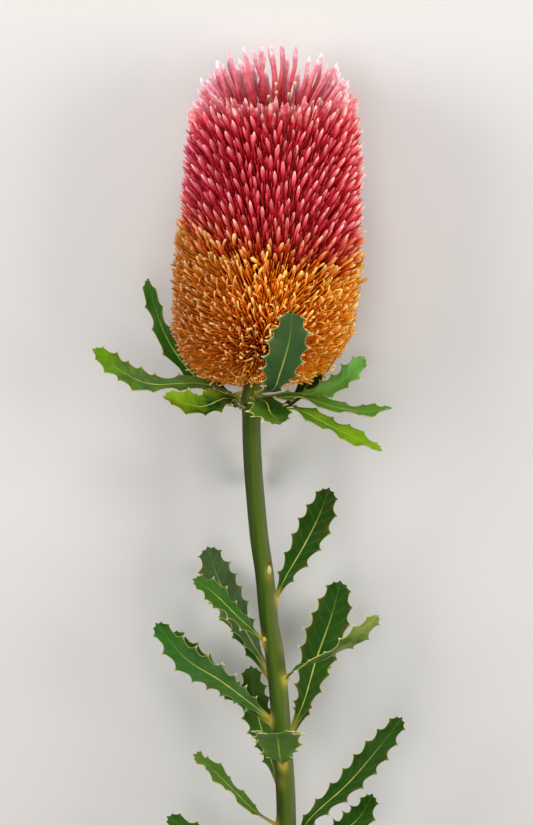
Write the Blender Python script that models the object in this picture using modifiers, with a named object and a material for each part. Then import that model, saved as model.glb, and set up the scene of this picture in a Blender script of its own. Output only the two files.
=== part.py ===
"""A cut banksia flower head on its leafy stem, lying on its side.

The head is a dense cone of long florets that all grow from one woody core. The upper
florets are still closed buds, straight clubs that point up and out. The lower florets
have opened into thin hooked strands. Stiff toothed leaves stand round the foot of the
head and along the stem.

The head's own axis runs along +Y at AXIS_HEIGHT over the surface that it rests on, and
the origin is on that surface under the middle of the pressed florets. Lengths below are
in millimetres and turn into metres where the shapes are made.
"""

import math
import random

import bmesh
import bpy
import numpy as np
from mathutils import Matrix, Vector

MM = 0.001

# Where the head lies
AXIS_HEIGHT = 37.5
HEAD_FOOT_Y = -52.4
HEAD_LEAN = 0.065
HEAD_BOW = -0.00035

# Outline of the floret tips: distance up the head from its foot, and radius there
TIP_OUTLINE = (
    (0.8, 10.0),
    (3.3, 24.0),
    (7.5, 29.0),
    (14.6, 35.4),
    (25.0, 39.5),
    (50.0, 40.8),
    (87.0, 38.7),
    (108.0, 37.4),
    (118.6, 35.4),
    (127.0, 30.0),
    (135.0, 22.5),
    (141.5, 12.5),
    (144.4, 3.0),
)
# Way that a floret points, in degrees from the head's axis, at a distance up the head
FLORET_SLOPE = (
    (0.0, 150.0),
    (3.0, 135.0),
    (10.0, 108.0),
    (19.0, 92.0),
    (40.0, 75.0),
    (61.0, 61.0),
    (67.0, 58.0),
    (100.0, 45.0),
    (118.0, 33.0),
    (127.0, 25.0),
    (135.0, 15.0),
    (144.4, 0.0),
)

# Woody core that the florets stand on
CORE_FOOT = 5.0
CORE_TOP = 126.0
CORE_RADIUS = 30.0
CORE_ROUNDNESS = 2.6
CORE_SIDES = 14
CORE_RINGS = 10
ROOT_DEPTH = 3.5
LONGEST_FLORET = 40.0
ROOT_STEP = 0.25

# The tilted plane where the buds end and the open florets begin
BORDER_UP = 54.5
BORDER_SIDE_TILT = 0.1875
BORDER_BACK_TILT = 0.15
GAP = 0.3

# What presses the lowest florets flat: width, length and depth
FLOOR_BLOCK = (200.0, 300.0, 50.0)

# Florets
GOLDEN_ANGLE = math.pi * (3.0 - math.sqrt(5.0))
FIRST_TURN = -0.043
OUTLINE_STEPS = 400
BUDS_ON_WHOLE_HEAD = 480
BUD_ROOT_RADIUS = 1.3
BUD_HEAD_RADIUS = 2.9
BUD_BODY_SHARE = 0.86
BUD_CLEAR = 1.7
BUD_NUDGE = 3.5
OPEN_ON_WHOLE_HEAD = 800
OPEN_ROOT_RADIUS = 1.2
OPEN_BEND_RADIUS = 1.15
OPEN_BODY_SHARE = 0.78
OPEN_HOOK = 4.2
OPEN_CLEAR = 2.1
OPEN_NUDGE = 2.5
OPEN_CALM = 5.0
TIP_DROP = 1.2

# Stem: centre points from the cut end up to the head
STEM_LINE = (
    (8.2, -256.0, 34.7),
    (7.7, -233.4, 34.9),
    (7.3, -218.8, 35.2),
    (5.8, -195.9, 35.7),
    (4.2, -175.1, 36.1),
    (2.5, -160.6, 36.4),
    (0.4, -148.1, 36.6),
    (-1.4, -129.4, 36.9),
    (-3.5, -114.8, 37.1),
    (-5.1, -98.2, 37.3),
    (-6.4, -81.5, 37.4),
    (-6.9, -64.9, 37.5),
    (-6.6, -54.0, 37.5),
    (-6.0, -47.8, 37.5),
)
STEM_FOOT_RADIUS = 4.1
STEM_TOP_RADIUS = 3.8
STEM_POINTS = 26

# Leaves
LEAF_THICKNESS = 0.7
LEAF_FOOT_WIDTH = 1.7
LEAF_FOOT_GAP = 0.85
LEAF_WIDEST_AT = 0.68
LEAF_WEDGE = 1.4
LEAF_TIP_NARROWING = 0.62
FIRST_TOOTH_AT = 0.16
TOOTH_FORWARD = 0.66
TOOTH_DEPTH = 1.3
TOOTH_SHARE_LIMIT = 0.3
TIP_SPINE = 1.0
STEP_ALONG = 0.01

# Colours
BUDS_COLOUR = (0.60, 0.13, 0.12)
OPEN_COLOUR = (0.80, 0.30, 0.04)
STEM_COLOUR = (0.30, 0.36, 0.10)
LEAF_COLOUR = (0.06, 0.22, 0.03)

# Each leaf: foot height on the stem, angle of the foot round the stem (0 right, 90 up,
# 180 left, 270 down), midrib points after the foot, way the upper face looks at the foot
# and at the tip, width, teeth on a side, depth of its trough
LEAVES = {
    "leaf_collar_left_back": (
        -53.0, 225.0, ((-20, -55, 24), (-33, -44, 18), (-42, -31, 22), (-47, -18, 26), (-50, -7, 30)),
        (-0.5, 0.1, 0.75), (-0.75, 0.0, 0.65), 12.0, 6, 0.6,
    ),
    "leaf_collar_left": (
        -57.0, 180.0, ((-27, -50, 37), (-49, -50, 37), (-62, -44, 38), (-72, -36, 40)),
        (0.1, 0.75, 0.7), (0.0, 0.75, 0.7), 14.0, 7, 0.8,
    ),
    "leaf_collar_left_front": (
        -60.0, 140.0, ((-17, -56, 50), (-28, -59.5, 57), (-42, -55.5, 61)),
        (0.3, 0.95, 0.55), (0.2, 0.7, 0.8), 15.0, 6, 1.6,
    ),
    "leaf_collar_front": (
        -53.5, 70.0, ((2, -52, 66), (5, -45, 77), (8.5, -33, 84), (10, -22, 89.5)),
        (0.0, 1.0, -0.3), (0.0, 0.7, -0.7), 17.5, 7, 0.8,
    ),
    "leaf_collar_low_front": (
        -55.5, 105.0, ((-1, -57.5, 55), (1, -62, 66), (4.5, -66, 75.5)),
        (0.0, 1.0, 0.2), (0.0, 1.0, 0.4), 18.0, 5, 0.8,
    ),
    "leaf_collar_right": (
        -56.0, 15.0, ((12, -55, 42), (29, -60, 45), (42, -61.5, 47), (50, -60, 48)),
        (0.0, 0.93, 0.4), (0.0, 0.93, 0.4), 13.0, 6, 0.6,
    ),
    "leaf_collar_right_low": (
        -62.5, 35.0, ((10, -60, 47), (23, -66, 51), (35, -72, 53), (46, -77, 54)),
        (0.2, 0.85, 0.55), (0.3, 0.8, 0.55), 13.0, 6, 0.6,
    ),
    "leaf_collar_right_back": (
        -55.0, 330.0, ((9, -55, 33), (23, -53, 28), (33, -47, 24), (40, -39, 22)),
        (0.25, 0.85, 0.45), (0.3, 0.8, 0.5), 11.5, 6, 0.6,
    ),
    "leaf_collar_under_left": (
        -54.5, 240.0, ((-14, -59, 24), (-24, -48, 11), (-29, -34, 5), (-31, -19, 4)),
        (0.5, 0.3, 0.8), (0.6, 0.0, 0.8), 13.0, 6, 0.6,
    ),
    "leaf_collar_under_right": (
        -57.0, 300.0, ((6, -60, 24), (17, -50, 11), (24, -36, 5), (27, -21, 4)),
        (-0.5, 0.3, 0.8), (-0.6, 0.0, 0.8), 13.0, 6, 0.6,
    ),
    "leaf_collar_under": (
        -61.0, 270.0, ((-7, -66, 24), (-7, -76, 13), (-6, -92, 5)),
        (1.0, 0.0, 0.0), (1.0, 0.0, 0.1), 11.0, 5, 0.5,
    ),
    "leaf_stem_right_high": (
        -140.0, 10.0, ((7.5, -130, 40), (15, -117, 42), (21, -105, 44), (25, -94, 45)),
        (-0.3, -0.1, 1.0), (0.2, 0.0, 1.0), 15.0, 6, 0.6,
    ),
    "leaf_stem_left_back": (
        -170.0, 205.0, ((-7, -157, 31), (-15, -143, 28), (-21, -131, 26), (-25, -119, 24)),
        (0.2, 0.0, 1.0), (0.1, 0.0, 1.0), 16.0, 7, 0.8,
    ),
    "leaf_stem_left_front": (
        -157.0, 165.0, ((-12, -147, 45), (-22, -137, 49), (-30, -131, 52)),
        (0.4, 0.5, 0.75), (0.4, 0.5, 0.75), 12.5, 5, 0.5,
    ),
    "leaf_stem_right_broad": (
        -196.0, 350.0, ((15, -182, 36), (20, -165, 35), (26, -148, 34), (30, -133, 34)),
        (0.0, 0.0, 1.0), (0.15, 0.0, 1.0), 18.0, 8, 0.8,
    ),
    "leaf_stem_right_twisted": (
        -173.0, 45.0, ((12, -168, 43), (24, -163, 47), (36, -155, 51), (45, -146, 55)),
        (-0.4, 0.9, 0.35), (0.35, 0.6, -0.7), 9.5, 6, 0.5,
    ),
    "leaf_stem_left_mid": (
        -190.0, 165.0, ((-8, -182, 40), (-20, -173, 41), (-34, -164, 42), (-46, -150, 42)),
        (0.2, 0.1, 1.0), (-0.1, 0.1, 1.0), 13.0, 8, 0.8,
    ),
    "leaf_stem_left_behind": (
        -222.0, 240.0, ((1, -206, 29), (-3, -193, 27), (-6, -181, 25), (-7, -169, 24)),
        (0.1, 0.0, 1.0), (0.0, 0.0, 1.0), 14.0, 7, 0.6,
    ),
    "leaf_stem_front": (
        -208.0, 95.0, ((5, -204, 50), (4, -195.5, 63), (3.5, -192.5, 79)),
        (0.0, 1.0, -0.2), (0.0, 1.0, -0.3), 21.0, 6, 1.2,
    ),
    "leaf_stem_left_low": (
        -234.0, 165.0, ((-6, -227, 40), (-16, -217, 42), (-24, -209, 44), (-30, -204, 46)),
        (0.5, 0.7, 0.45), (0.5, 0.7, 0.45), 13.0, 6, 0.5,
    ),
    "leaf_stem_right_low": (
        -241.0, 20.0, ((18, -230, 40), (33, -216, 42), (45, -202, 43), (55, -189, 44)),
        (-0.2, 0.2, 1.0), (0.1, 0.1, 1.0), 12.5, 8, 0.6,
    ),
    "leaf_foot_right": (
        -250.0, 330.0, ((20, -243, 35), (30, -237, 37), (38, -230, 39), (43, -221, 42)),
        (0.0, 0.2, 1.0), (0.3, 0.2, 0.9), 13.0, 6, 0.6,
    ),
    "leaf_foot_left": (
        -248.0, 190.0, ((-5, -246, 37), (-16, -243, 39), (-29, -238, 41), (-41, -230, 42)),
        (0.0, 0.3, 1.0), (0.0, 0.3, 1.0), 12.0, 6, 0.6,
    ),
    "leaf_under_right": (
        -200.0, 315.0, ((14, -187, 26), (20, -169, 18), (25, -154, 12), (28, -141, 9)),
        (0.1, -0.3, 1.0), (0.1, 0.0, 1.0), 13.0, 6, 0.6,
    ),
    "leaf_under_left": (
        -176.0, 235.0, ((-6, -162, 23), (-14, -148, 15), (-19, -136, 9), (-23, -125, 6)),
        (0.0, -0.3, 1.0), (0.0, 0.0, 1.0), 13.0, 6, 0.6,
    ),
    "leaf_under_mid": (
        -193.0, 215.0, ((-8, -184, 30), (-20, -174, 22), (-31, -165, 16), (-40, -155, 13)),
        (0.0, -0.2, 1.0), (0.0, 0.0, 1.0), 12.0, 6, 0.6,
    ),
}


def clear_scene():
    for obj in list(bpy.data.objects):
        bpy.data.objects.remove(obj)


def new_collection(name, hidden=False):
    collection = bpy.data.collections.new(name)
    collection.hide_render = hidden
    bpy.context.scene.collection.children.link(collection)
    return collection


def finish_material(name, colour, roughness):
    material = bpy.data.materials.new(name)
    material.use_nodes = True
    shader = material.node_tree.nodes["Principled BSDF"]
    shader.inputs["Base Color"].default_value = (*colour, 1.0)
    shader.inputs["Roughness"].default_value = roughness
    shader.inputs["Metallic"].default_value = 0.0
    return material


def mesh_object(name, bm, collection, material=None):
    mesh = bpy.data.meshes.new(name)
    bm.to_mesh(mesh)
    bm.free()
    obj = bpy.data.objects.new(name, mesh)
    collection.objects.link(obj)
    if material:
        mesh.materials.append(material)
    return obj


def applied(obj):
    """The object with its modifiers turned into plain mesh."""
    bpy.context.view_layer.update()
    graph = bpy.context.evaluated_depsgraph_get()
    mesh = bpy.data.meshes.new_from_object(obj.evaluated_get(graph))
    obj.modifiers.clear()
    obj.data = mesh
    return obj


def head_axis(up):
    """Point of the head's axis, a distance up from the head's foot."""
    y = HEAD_FOOT_Y + up
    return Vector((HEAD_LEAN * y + HEAD_BOW * y * y, y, AXIS_HEIGHT))


def head_point(up, radius, turn):
    """Point at a radius from the axis, turned round it from the right over the top."""
    return head_axis(up) + radius * Vector((math.cos(turn), 0.0, math.sin(turn)))


def core_radius(up):
    middle = 0.5 * (CORE_FOOT + CORE_TOP)
    along = abs(up - middle) / (CORE_TOP - middle)
    if along >= 1.0:
        return 0.0
    return CORE_RADIUS * (1.0 - along**CORE_ROUNDNESS) ** (1.0 / CORE_ROUNDNESS)


def table_value(table, at):
    return float(np.interp(at, [row[0] for row in table], [row[1] for row in table]))


def floret_way(up, turn):
    """Unit vector along a floret whose tip is a distance up the head."""
    slope = math.radians(table_value(FLORET_SLOPE, up))
    out = Vector((math.cos(turn), 0.0, math.sin(turn)))
    return math.sin(slope) * out + Vector((0.0, math.cos(slope), 0.0))


def over_border(point):
    """Distance up the head from the border plane to a point; above it is positive."""
    y = point.y - HEAD_FOOT_Y
    axis = head_axis(y)
    tilt = BORDER_SIDE_TILT * (point.x - axis.x) + BORDER_BACK_TILT * (point.z - axis.z)
    return y + tilt - BORDER_UP


def in_core(point):
    up = point.y - HEAD_FOOT_Y
    axis = head_axis(up)
    return math.hypot(point.x - axis.x, point.z - axis.z) < core_radius(up)


def floret_places(count):
    """Tips spread evenly over the head's surface: distance up the head and turn."""
    ups = np.linspace(TIP_OUTLINE[0][0], TIP_OUTLINE[-1][0], OUTLINE_STEPS)
    radii = np.array([table_value(TIP_OUTLINE, up) for up in ups])
    steps = np.hypot(np.diff(ups), np.diff(radii)) * 0.5 * (radii[1:] + radii[:-1])
    area = np.concatenate(([0.0], np.cumsum(steps)))
    for i in range(count):
        up = float(np.interp((i + 0.5) / count * area[-1], area, ups))
        yield up, FIRST_TURN + (i * GOLDEN_ANGLE) % math.tau


def core_half(keep_above):
    """One side of the woody core, cut flat at the border plane."""
    bm = bmesh.new()
    bmesh.ops.create_uvsphere(bm, u_segments=CORE_SIDES, v_segments=CORE_RINGS, radius=1.0)
    middle = 0.5 * (CORE_FOOT + CORE_TOP)
    for vert in bm.verts:
        up = middle + (CORE_TOP - middle) * vert.co.z
        turn = math.atan2(vert.co.y, vert.co.x)
        vert.co = head_point(up, core_radius(up), turn) * MM
    bmesh.ops.recalc_face_normals(bm, faces=bm.faces)
    normal = Vector((BORDER_SIDE_TILT, 1.0, BORDER_BACK_TILT)).normalized()
    side = 1.0 if keep_above else -1.0
    centre = head_axis(BORDER_UP) + side * 0.5 * GAP * normal
    cut = bmesh.ops.bisect_plane(
        bm,
        geom=bm.verts[:] + bm.edges[:] + bm.faces[:],
        plane_co=centre * MM,
        plane_no=-side * normal,
        clear_outer=True,
    )
    rim = [item for item in cut["geom_cut"] if isinstance(item, bmesh.types.BMEdge)]
    bmesh.ops.edgeloop_fill(bm, edges=rim)
    bmesh.ops.recalc_face_normals(bm, faces=bm.faces)
    return bm


def prong_mesh(name, root_radius, end_radius, body_share, hook):
    """A three-sided floret of length 1 along +Z that ends in a point set off by hook."""
    bm = bmesh.new()
    bmesh.ops.create_cone(
        bm,
        cap_ends=True,
        segments=3,
        radius1=root_radius * MM,
        radius2=end_radius * MM,
        depth=body_share,
        matrix=Matrix.Translation((0.0, 0.0, 0.5 * body_share)),
    )
    top = max(bm.faces, key=lambda face: face.calc_center_median().z)
    point = bmesh.ops.poke(bm, faces=[top])["verts"][0]
    point.co = (hook * MM, 0.0, 1.0)
    mesh = bpy.data.meshes.new(name)
    bm.to_mesh(mesh)
    bm.free()
    return mesh


def place_prong(mesh, root, tip, lean, collection):
    """Puts a floret from its root to its tip, with its hook on the side that lean gives."""
    way = tip - root
    along = way.normalized()
    hook = (lean - lean.dot(along) * along).normalized()
    turned = Matrix((hook, along.cross(hook), along)).transposed()
    obj = bpy.data.objects.new(mesh.name, mesh)
    obj.matrix_world = Matrix.LocRotScale(root * MM, turned.to_quaternion(), (1, 1, way.length * MM))
    collection.objects.link(obj)


def any_way(rng):
    return Vector((rng.uniform(-1.0, 1.0), rng.uniform(-1.0, 1.0), rng.uniform(-1.0, 1.0)))


def sunk_root(tip, way):
    """Steps back from a tip to the core's surface, and on to a root below it."""
    surface = tip.copy()
    while not in_core(surface) and (tip - surface).length < LONGEST_FLORET:
        surface = surface - ROOT_STEP * way
    return surface, surface - ROOT_DEPTH * way


def joined_florets(name, core, prongs, collection, material):
    """Core and florets as one body."""
    obj = mesh_object(name, core, collection, material)
    union = obj.modifiers.new("Join florets", "BOOLEAN")
    union.operation = "UNION"
    union.operand_type = "COLLECTION"
    union.collection = prongs
    applied(obj)
    for prong in list(prongs.objects):
        bpy.data.objects.remove(prong)
    bpy.data.collections.remove(prongs)
    return obj


def make_buds(collection, material):
    """Closed florets: straight clubs on the upper part of the head."""
    rng = random.Random(7)
    prongs = new_collection("bud prongs")
    mesh = prong_mesh("bud", BUD_ROOT_RADIUS, BUD_HEAD_RADIUS, BUD_BODY_SHARE, 0.0)
    for up, turn in floret_places(BUDS_ON_WHOLE_HEAD):
        way = floret_way(up, turn)
        tip = head_point(up, table_value(TIP_OUTLINE, up), turn) - rng.uniform(0.0, TIP_DROP) * way
        surface, root = sunk_root(tip, way)
        short = BUD_CLEAR - over_border(root)
        nudge = Vector((0.0, max(short, 0.0), 0.0))
        if short < BUD_NUDGE:
            place_prong(mesh, root + nudge, tip + nudge, any_way(rng), prongs)
    return joined_florets("bud_florets", core_half(True), prongs, collection, material)


def make_open_florets(collection, material):
    """Opened florets: thinner strands with hooked ends on the lower part of the head."""
    rng = random.Random(11)
    prongs = new_collection("open prongs")
    mesh = prong_mesh("strand", OPEN_ROOT_RADIUS, OPEN_BEND_RADIUS, OPEN_BODY_SHARE, OPEN_HOOK)
    for up, turn in floret_places(OPEN_ON_WHOLE_HEAD):
        way = floret_way(up, turn)
        tip = head_point(up, table_value(TIP_OUTLINE, up), turn) - rng.uniform(0.0, TIP_DROP) * way
        surface, root = sunk_root(tip, way)
        over = OPEN_CLEAR + over_border(surface)
        nudge = Vector((0.0, -max(over, 0.0), 0.0))
        lean = any_way(rng)
        if over > -OPEN_CALM:
            lean.y = -2.0
        if over < OPEN_NUDGE:
            place_prong(mesh, root + nudge, tip + nudge, lean, prongs)
    return joined_florets("open_florets", core_half(False), prongs, collection, material)


def press_on_floor(florets, cutters):
    """Flattens the floret tips that the head lies on."""
    bm = bmesh.new()
    bmesh.ops.create_cube(bm, size=1.0)
    floor = mesh_object("floor_block", bm, cutters)
    floor.scale = Vector(FLOOR_BLOCK) * MM
    floor.location.z = -0.5 * FLOOR_BLOCK[2] * MM
    floor.hide_render = True
    floor.display_type = "WIRE"
    for obj in florets:
        cut = obj.modifiers.new("Press flat", "BOOLEAN")
        cut.operation = "DIFFERENCE"
        cut.object = floor


def smooth_point(points, at):
    """Point of a smooth curve through the given points, at a share of its length."""
    ends = [2 * points[0] - points[1], *points, 2 * points[-1] - points[-2]]
    place = min(at, 0.999999) * (len(points) - 1)
    i = int(place)
    t = place - i
    a, b, c, d = ends[i : i + 4]
    curve = (2 * a - 5 * b + 4 * c - d) * t**2 + (3 * b - a - 3 * c + d) * t**3
    return 0.5 * (2 * b + (c - a) * t + curve)


def stem_centre(y):
    xs, ys, zs = zip(*STEM_LINE)
    return Vector((float(np.interp(y, ys, xs)), y, float(np.interp(y, ys, zs))))


def stem_radius(y):
    foot, top = STEM_LINE[0][1], STEM_LINE[-1][1]
    return float(np.interp(y, (foot, top), (STEM_FOOT_RADIUS, STEM_TOP_RADIUS)))


def make_stem(collection, material):
    """The woody stem: one tapered round tube with plain ends."""
    curve = bpy.data.curves.new("stem", "CURVE")
    curve.dimensions = "3D"
    curve.bevel_depth = MM
    curve.bevel_resolution = 3
    curve.use_fill_caps = True
    spline = curve.splines.new("POLY")
    spline.points.add(STEM_POINTS - 1)
    points = [Vector(p) for p in STEM_LINE]
    for i, knot in enumerate(spline.points):
        centre = smooth_point(points, i / (STEM_POINTS - 1))
        knot.co = (*(centre * MM), 1.0)
        knot.radius = stem_radius(centre.y)
    obj = bpy.data.objects.new("stem", curve)
    curve.materials.append(material)
    collection.objects.link(obj)
    return obj


def leaf_half_width(t, width):
    """Half the width of a wedge-shaped, blunt leaf at a share of its length."""
    foot = LEAF_FOOT_WIDTH / width
    if t < LEAF_WIDEST_AT:
        share = foot + (1.0 - foot) * math.sin(0.5 * math.pi * t / LEAF_WIDEST_AT) ** LEAF_WEDGE
    else:
        share = 1.0 - LEAF_TIP_NARROWING * ((t - LEAF_WIDEST_AT) / (1.0 - LEAF_WIDEST_AT)) ** 2
    return 0.5 * width * share


def leaf_stations(teeth):
    """Places along a leaf edge: a notch and a tooth in turn, from the foot to the tip."""
    pitch = (1.0 - FIRST_TOOTH_AT) / teeth
    yield 0.0, 0.0
    for i in range(teeth):
        yield FIRST_TOOTH_AT + i * pitch, TOOTH_DEPTH
        yield FIRST_TOOTH_AT + (i + TOOTH_FORWARD) * pitch, 0.0
    yield 1.0, 0.0


def make_leaf(name, collection, material):
    """One stiff toothed leaf, a thin curved blade that springs from the stem."""
    foot_y, foot_turn, beyond, face_foot, face_tip, width, teeth, trough = LEAVES[name]
    turn = math.radians(foot_turn)
    out = Vector((math.cos(turn), 0.0, math.sin(turn)))
    foot = stem_centre(foot_y) + (stem_radius(foot_y) + LEAF_FOOT_GAP) * out
    points = [foot, *(Vector(p) for p in beyond)]
    bm = bmesh.new()
    rows = []
    for t, notch in leaf_stations(teeth):
        centre = smooth_point(points, t)
        before = smooth_point(points, max(t - STEP_ALONG, 0.0))
        along = (smooth_point(points, min(t + STEP_ALONG, 1.0)) - before).normalized()
        face = Vector(face_foot).lerp(Vector(face_tip), t)
        across = along.cross(face).normalized()
        face = across.cross(along)
        full = leaf_half_width(t, width)
        half = full - min(notch, TOOTH_SHARE_LIMIT * full)
        lift = trough * half / (0.5 * width)
        ahead = TIP_SPINE * along if t == 1.0 else Vector()
        places = (
            centre - half * across + lift * face,
            centre + ahead,
            centre + half * across + lift * face,
        )
        rows.append([bm.verts.new(place * MM) for place in places])
    for lower, upper in zip(rows, rows[1:]):
        for side in (0, 1):
            bm.faces.new((lower[side], lower[side + 1], upper[side + 1], upper[side]))
    bmesh.ops.triangulate(bm, faces=bm.faces)
    bmesh.ops.recalc_face_normals(bm, faces=bm.faces)
    obj = mesh_object(name, bm, collection, material)
    obj.data.shade_smooth()
    blade = obj.modifiers.new("Blade", "SOLIDIFY")
    blade.thickness = LEAF_THICKNESS * MM
    blade.offset = 0.0
    return obj


def main():
    clear_scene()
    parts = new_collection("banksia")
    cutters = new_collection("cutters", hidden=True)
    buds = make_buds(parts, finish_material("closed florets", BUDS_COLOUR, 0.6))
    strands = make_open_florets(parts, finish_material("open florets", OPEN_COLOUR, 0.6))
    press_on_floor((buds, strands), cutters)
    make_stem(parts, finish_material("stem bark", STEM_COLOUR, 0.65))
    blade = finish_material("leaf blade", LEAF_COLOUR, 0.45)
    for name in LEAVES:
        make_leaf(name, parts, blade)


main()
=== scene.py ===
"""The looks of a cut banksia flower head on its leafy stem, lying on a pale table.

Every piece stands where the fixed frame has its solid. Sizes are in millimetres and are
turned into metres where a mesh is made. +Y runs up the head, +Z is up from the table.
"""

import math

import bpy
import mathutils
import numpy as np
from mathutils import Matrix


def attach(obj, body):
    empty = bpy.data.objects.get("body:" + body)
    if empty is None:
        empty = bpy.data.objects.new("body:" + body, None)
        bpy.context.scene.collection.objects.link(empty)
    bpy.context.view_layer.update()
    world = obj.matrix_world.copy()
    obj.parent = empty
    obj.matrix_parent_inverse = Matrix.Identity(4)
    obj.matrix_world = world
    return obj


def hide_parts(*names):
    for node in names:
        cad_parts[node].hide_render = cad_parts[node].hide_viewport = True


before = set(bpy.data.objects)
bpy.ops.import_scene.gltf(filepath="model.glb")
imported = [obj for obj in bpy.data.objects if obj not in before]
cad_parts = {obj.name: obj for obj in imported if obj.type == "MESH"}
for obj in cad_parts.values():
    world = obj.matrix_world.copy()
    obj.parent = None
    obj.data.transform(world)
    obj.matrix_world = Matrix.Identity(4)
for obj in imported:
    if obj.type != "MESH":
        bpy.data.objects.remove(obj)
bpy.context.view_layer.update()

# Camera
# The flower lies on its side, so the camera looks straight down on it. The lens is long,
# and the photo's frame of 533 by 825 is filled at the height of the head's axis.
MM = 0.001
FRAME_LONG_SIDE = 825
SCALE = 0.416
FRAME_CENTRE = (-0.6, -61.8)
AXIS_HEIGHT = 37.5
LENS = 200.0
SENSOR = 36.0
CAMERA_REACH = 20.0


def new_object(name, data):
    thing = bpy.data.objects.new(name, data)
    bpy.context.scene.collection.objects.link(thing)
    return thing


camera_data = bpy.data.cameras.new("camera")
camera_data.lens = LENS
camera_data.sensor_width = SENSOR
camera_data.clip_end = CAMERA_REACH
camera = new_object("camera", camera_data)
distance = FRAME_LONG_SIDE * SCALE * LENS / SENSOR
camera.location = (FRAME_CENTRE[0] * MM, FRAME_CENTRE[1] * MM, (AXIS_HEIGHT + distance) * MM)
bpy.context.scene.camera = camera

# Closed florets
# The upper part of the head: slender buds that each spring from the woody axis, arch up
# and out, and end in a slightly thicker velvety limb. None has opened yet. Those of the
# crown stand free and show nearly their whole length.
STRAIGHT_UP = np.array((0.0, 1.0, 0.0))
HEAD_FOOT_Y = -52.4
HEAD_LEAN = 0.065
HEAD_BOW = -0.00035
TIP_UPS = (0.8, 3.3, 7.5, 14.6, 25.0, 50.0, 87.0, 108.0, 118.6, 127.0, 135.0, 140.5, 144.4)
TIP_RADII = (10.0, 24.0, 29.0, 35.4, 39.5, 40.8, 39.2, 37.8, 35.8, 31.0, 25.0, 18.0, 8.0)
SLOPE_UPS = (0.0, 3.0, 10.0, 19.0, 30.0, 40.0, 61.0, 85.0, 100.0, 118.0, 127.0, 135.0, 144.4)
SLOPES = (124.0, 118.0, 104.0, 88.0, 74.0, 65.0, 54.0, 49.0, 48.0, 42.0, 34.0, 22.0, 6.0)
OUTLINE_STEPS = 400
GOLDEN_ANGLE = math.pi * (3.0 - math.sqrt(5.0))
BORDER_AT_TIPS = 61.0
BORDER_SIDE_TILT = 0.1875
BORDER_BACK_TILT = 0.15
BORDER_MIX = 1.1
BORDER_BAND = 17.0
BORDER_SPREAD = 0.2
HEAD_SIDE_REACH = 36.0
# Painted light: florets on the right of the head, where the light falls, are made brighter
RIGHT_PAINTED_LIGHT = 0.25
FLOOR_SOFTNESS = 0.7
TUBE_END_BULGE = 0.7
BUDS_ON_WHOLE_HEAD = 1250
BUD_LENGTH = 27.0
BUD_SIDES = 8
BUD_STATIONS = (0.0, 0.25, 0.45, 0.58, 0.69, 0.79, 0.87, 0.93, 0.97, 1.0)
BUD_THICKNESS = (0.34, 0.38, 0.42, 0.48, 0.60, 0.74, 0.80, 0.66, 0.42, 0.10)
BUD_ARCH = 0.30
BUD_SCATTER = 0.08
BUD_SIZES = (0.86, 1.14)
BUD_EDGE = (-7.0, 4.0)
BUD_DEPTH_POWER = 1.6
LOWER_BUDS_ON_WHOLE_HEAD = 1300
LOWER_BUD_SIDES = 5
LOWER_BUD_STATIONS = (0.0, 0.4, 0.70, 0.82, 0.92, 0.97, 1.0)
LOWER_BUD_THICKNESS = (0.28, 0.32, 0.36, 0.46, 0.54, 0.36, 0.10)
# Painted shade: the deeper buds stop short of the pale end of their ramp and stay darker
LOWER_BUD_PAINTED_SHADE_REACH = 0.90
FRONT_STEEPNESS = 0.20
SHAFTS_ON_WHOLE_HEAD = 13000
SHAFT_LENGTH = 22.0
SHAFT_SIDES = 3
SHAFT_STATIONS = (0.0, 0.4, 0.7, 0.9, 1.0)
SHAFT_THICKNESS = (0.20, 0.25, 0.27, 0.26, 0.12)
BUD_SHAFT_DROP = (1.8, 8.0)
BUD_SHAFT_TINTS = (-0.7, 0.6)
SHAFT_COLOUR_REACH = 0.84
SHAFT_SCATTER = 0.025
SHAFT_SIZES = (0.85, 1.15)
SHAFT_EDGE = (-5.0, 5.0)
SHAFT_BORDER_BAND = 12.0
SHAFTS_INTO_CROWN = 4.0
CROWN_ON_WHOLE_HEAD = 1650
CROWN_FROM = 113.0
CROWN_BACK_TOP = 138.0
CROWN_FRONT_TOP = 121.0
CROWN_SIDES = 9
CROWN_LENGTH = 33.0
CROWN_THICKNESS = (0.55, 0.70, 0.80, 0.86, 0.84, 0.92, 0.96, 0.86, 0.62, 0.22)
CROWN_WAVE = 0.45
CROWN_WAVES = 1.4
CROWN_SIZES = (0.82, 1.08)
CROWN_EDGE = (-5.0, 4.0)
CROWN_FRONT_SHARPNESS = 1.6
CROWN_SCATTER = 0.05
CROWN_ROOT_SCATTER = 0.03
CROWN_ARCH = 0.15
CROWN_DROP = (-1.2, 3.5)
CROWN_BORDER_BAND = 14.0
CROWN_BORDER_SPREAD = 0.15
ASLANT = (0.1, 0.3, 1.0)
ROW_STOUTNESS = 1.15
ROW_SIZES = (0.85, 1.15)
ROW_SETBACK = (0.0, 3.0)
ROW_SCATTER = 0.085
ROW_ROOT_SCATTER = 0.06
# Tips of the row that stands free at the top, to the right and up, and how it leans
CROWN_ROW = (
    (-27.6, 77.6), (-24.4, 79.6), (-21.2, 84.8), (-19.5, 81.0), (-16.7, 80.2), (-15.6, 88.8), (-13.2, 84.0),
    (-10.0, 90.9), (-8.4, 86.2), (-5.8, 89.8), (-4.2, 84.0), (-2.3, 92.4), (-1.7, 88.6), (1.3, 92.3),
    (5.9, 92.6), (7.7, 88.0), (9.0, 80.0), (12.0, 91.4), (13.9, 79.2), (17.9, 87.5), (19.6, 83.5),
    (22.0, 87.7), (24.0, 77.4), (26.0, 80.5), (28.4, 83.5), (31.7, 75.9), (34.0, 76.5),
)
ROW_LEAN = 0.0162
ROW_LEAN_AT_TIP = 0.6
ROW_LEAN_AT_ROOT = 1.4
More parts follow.
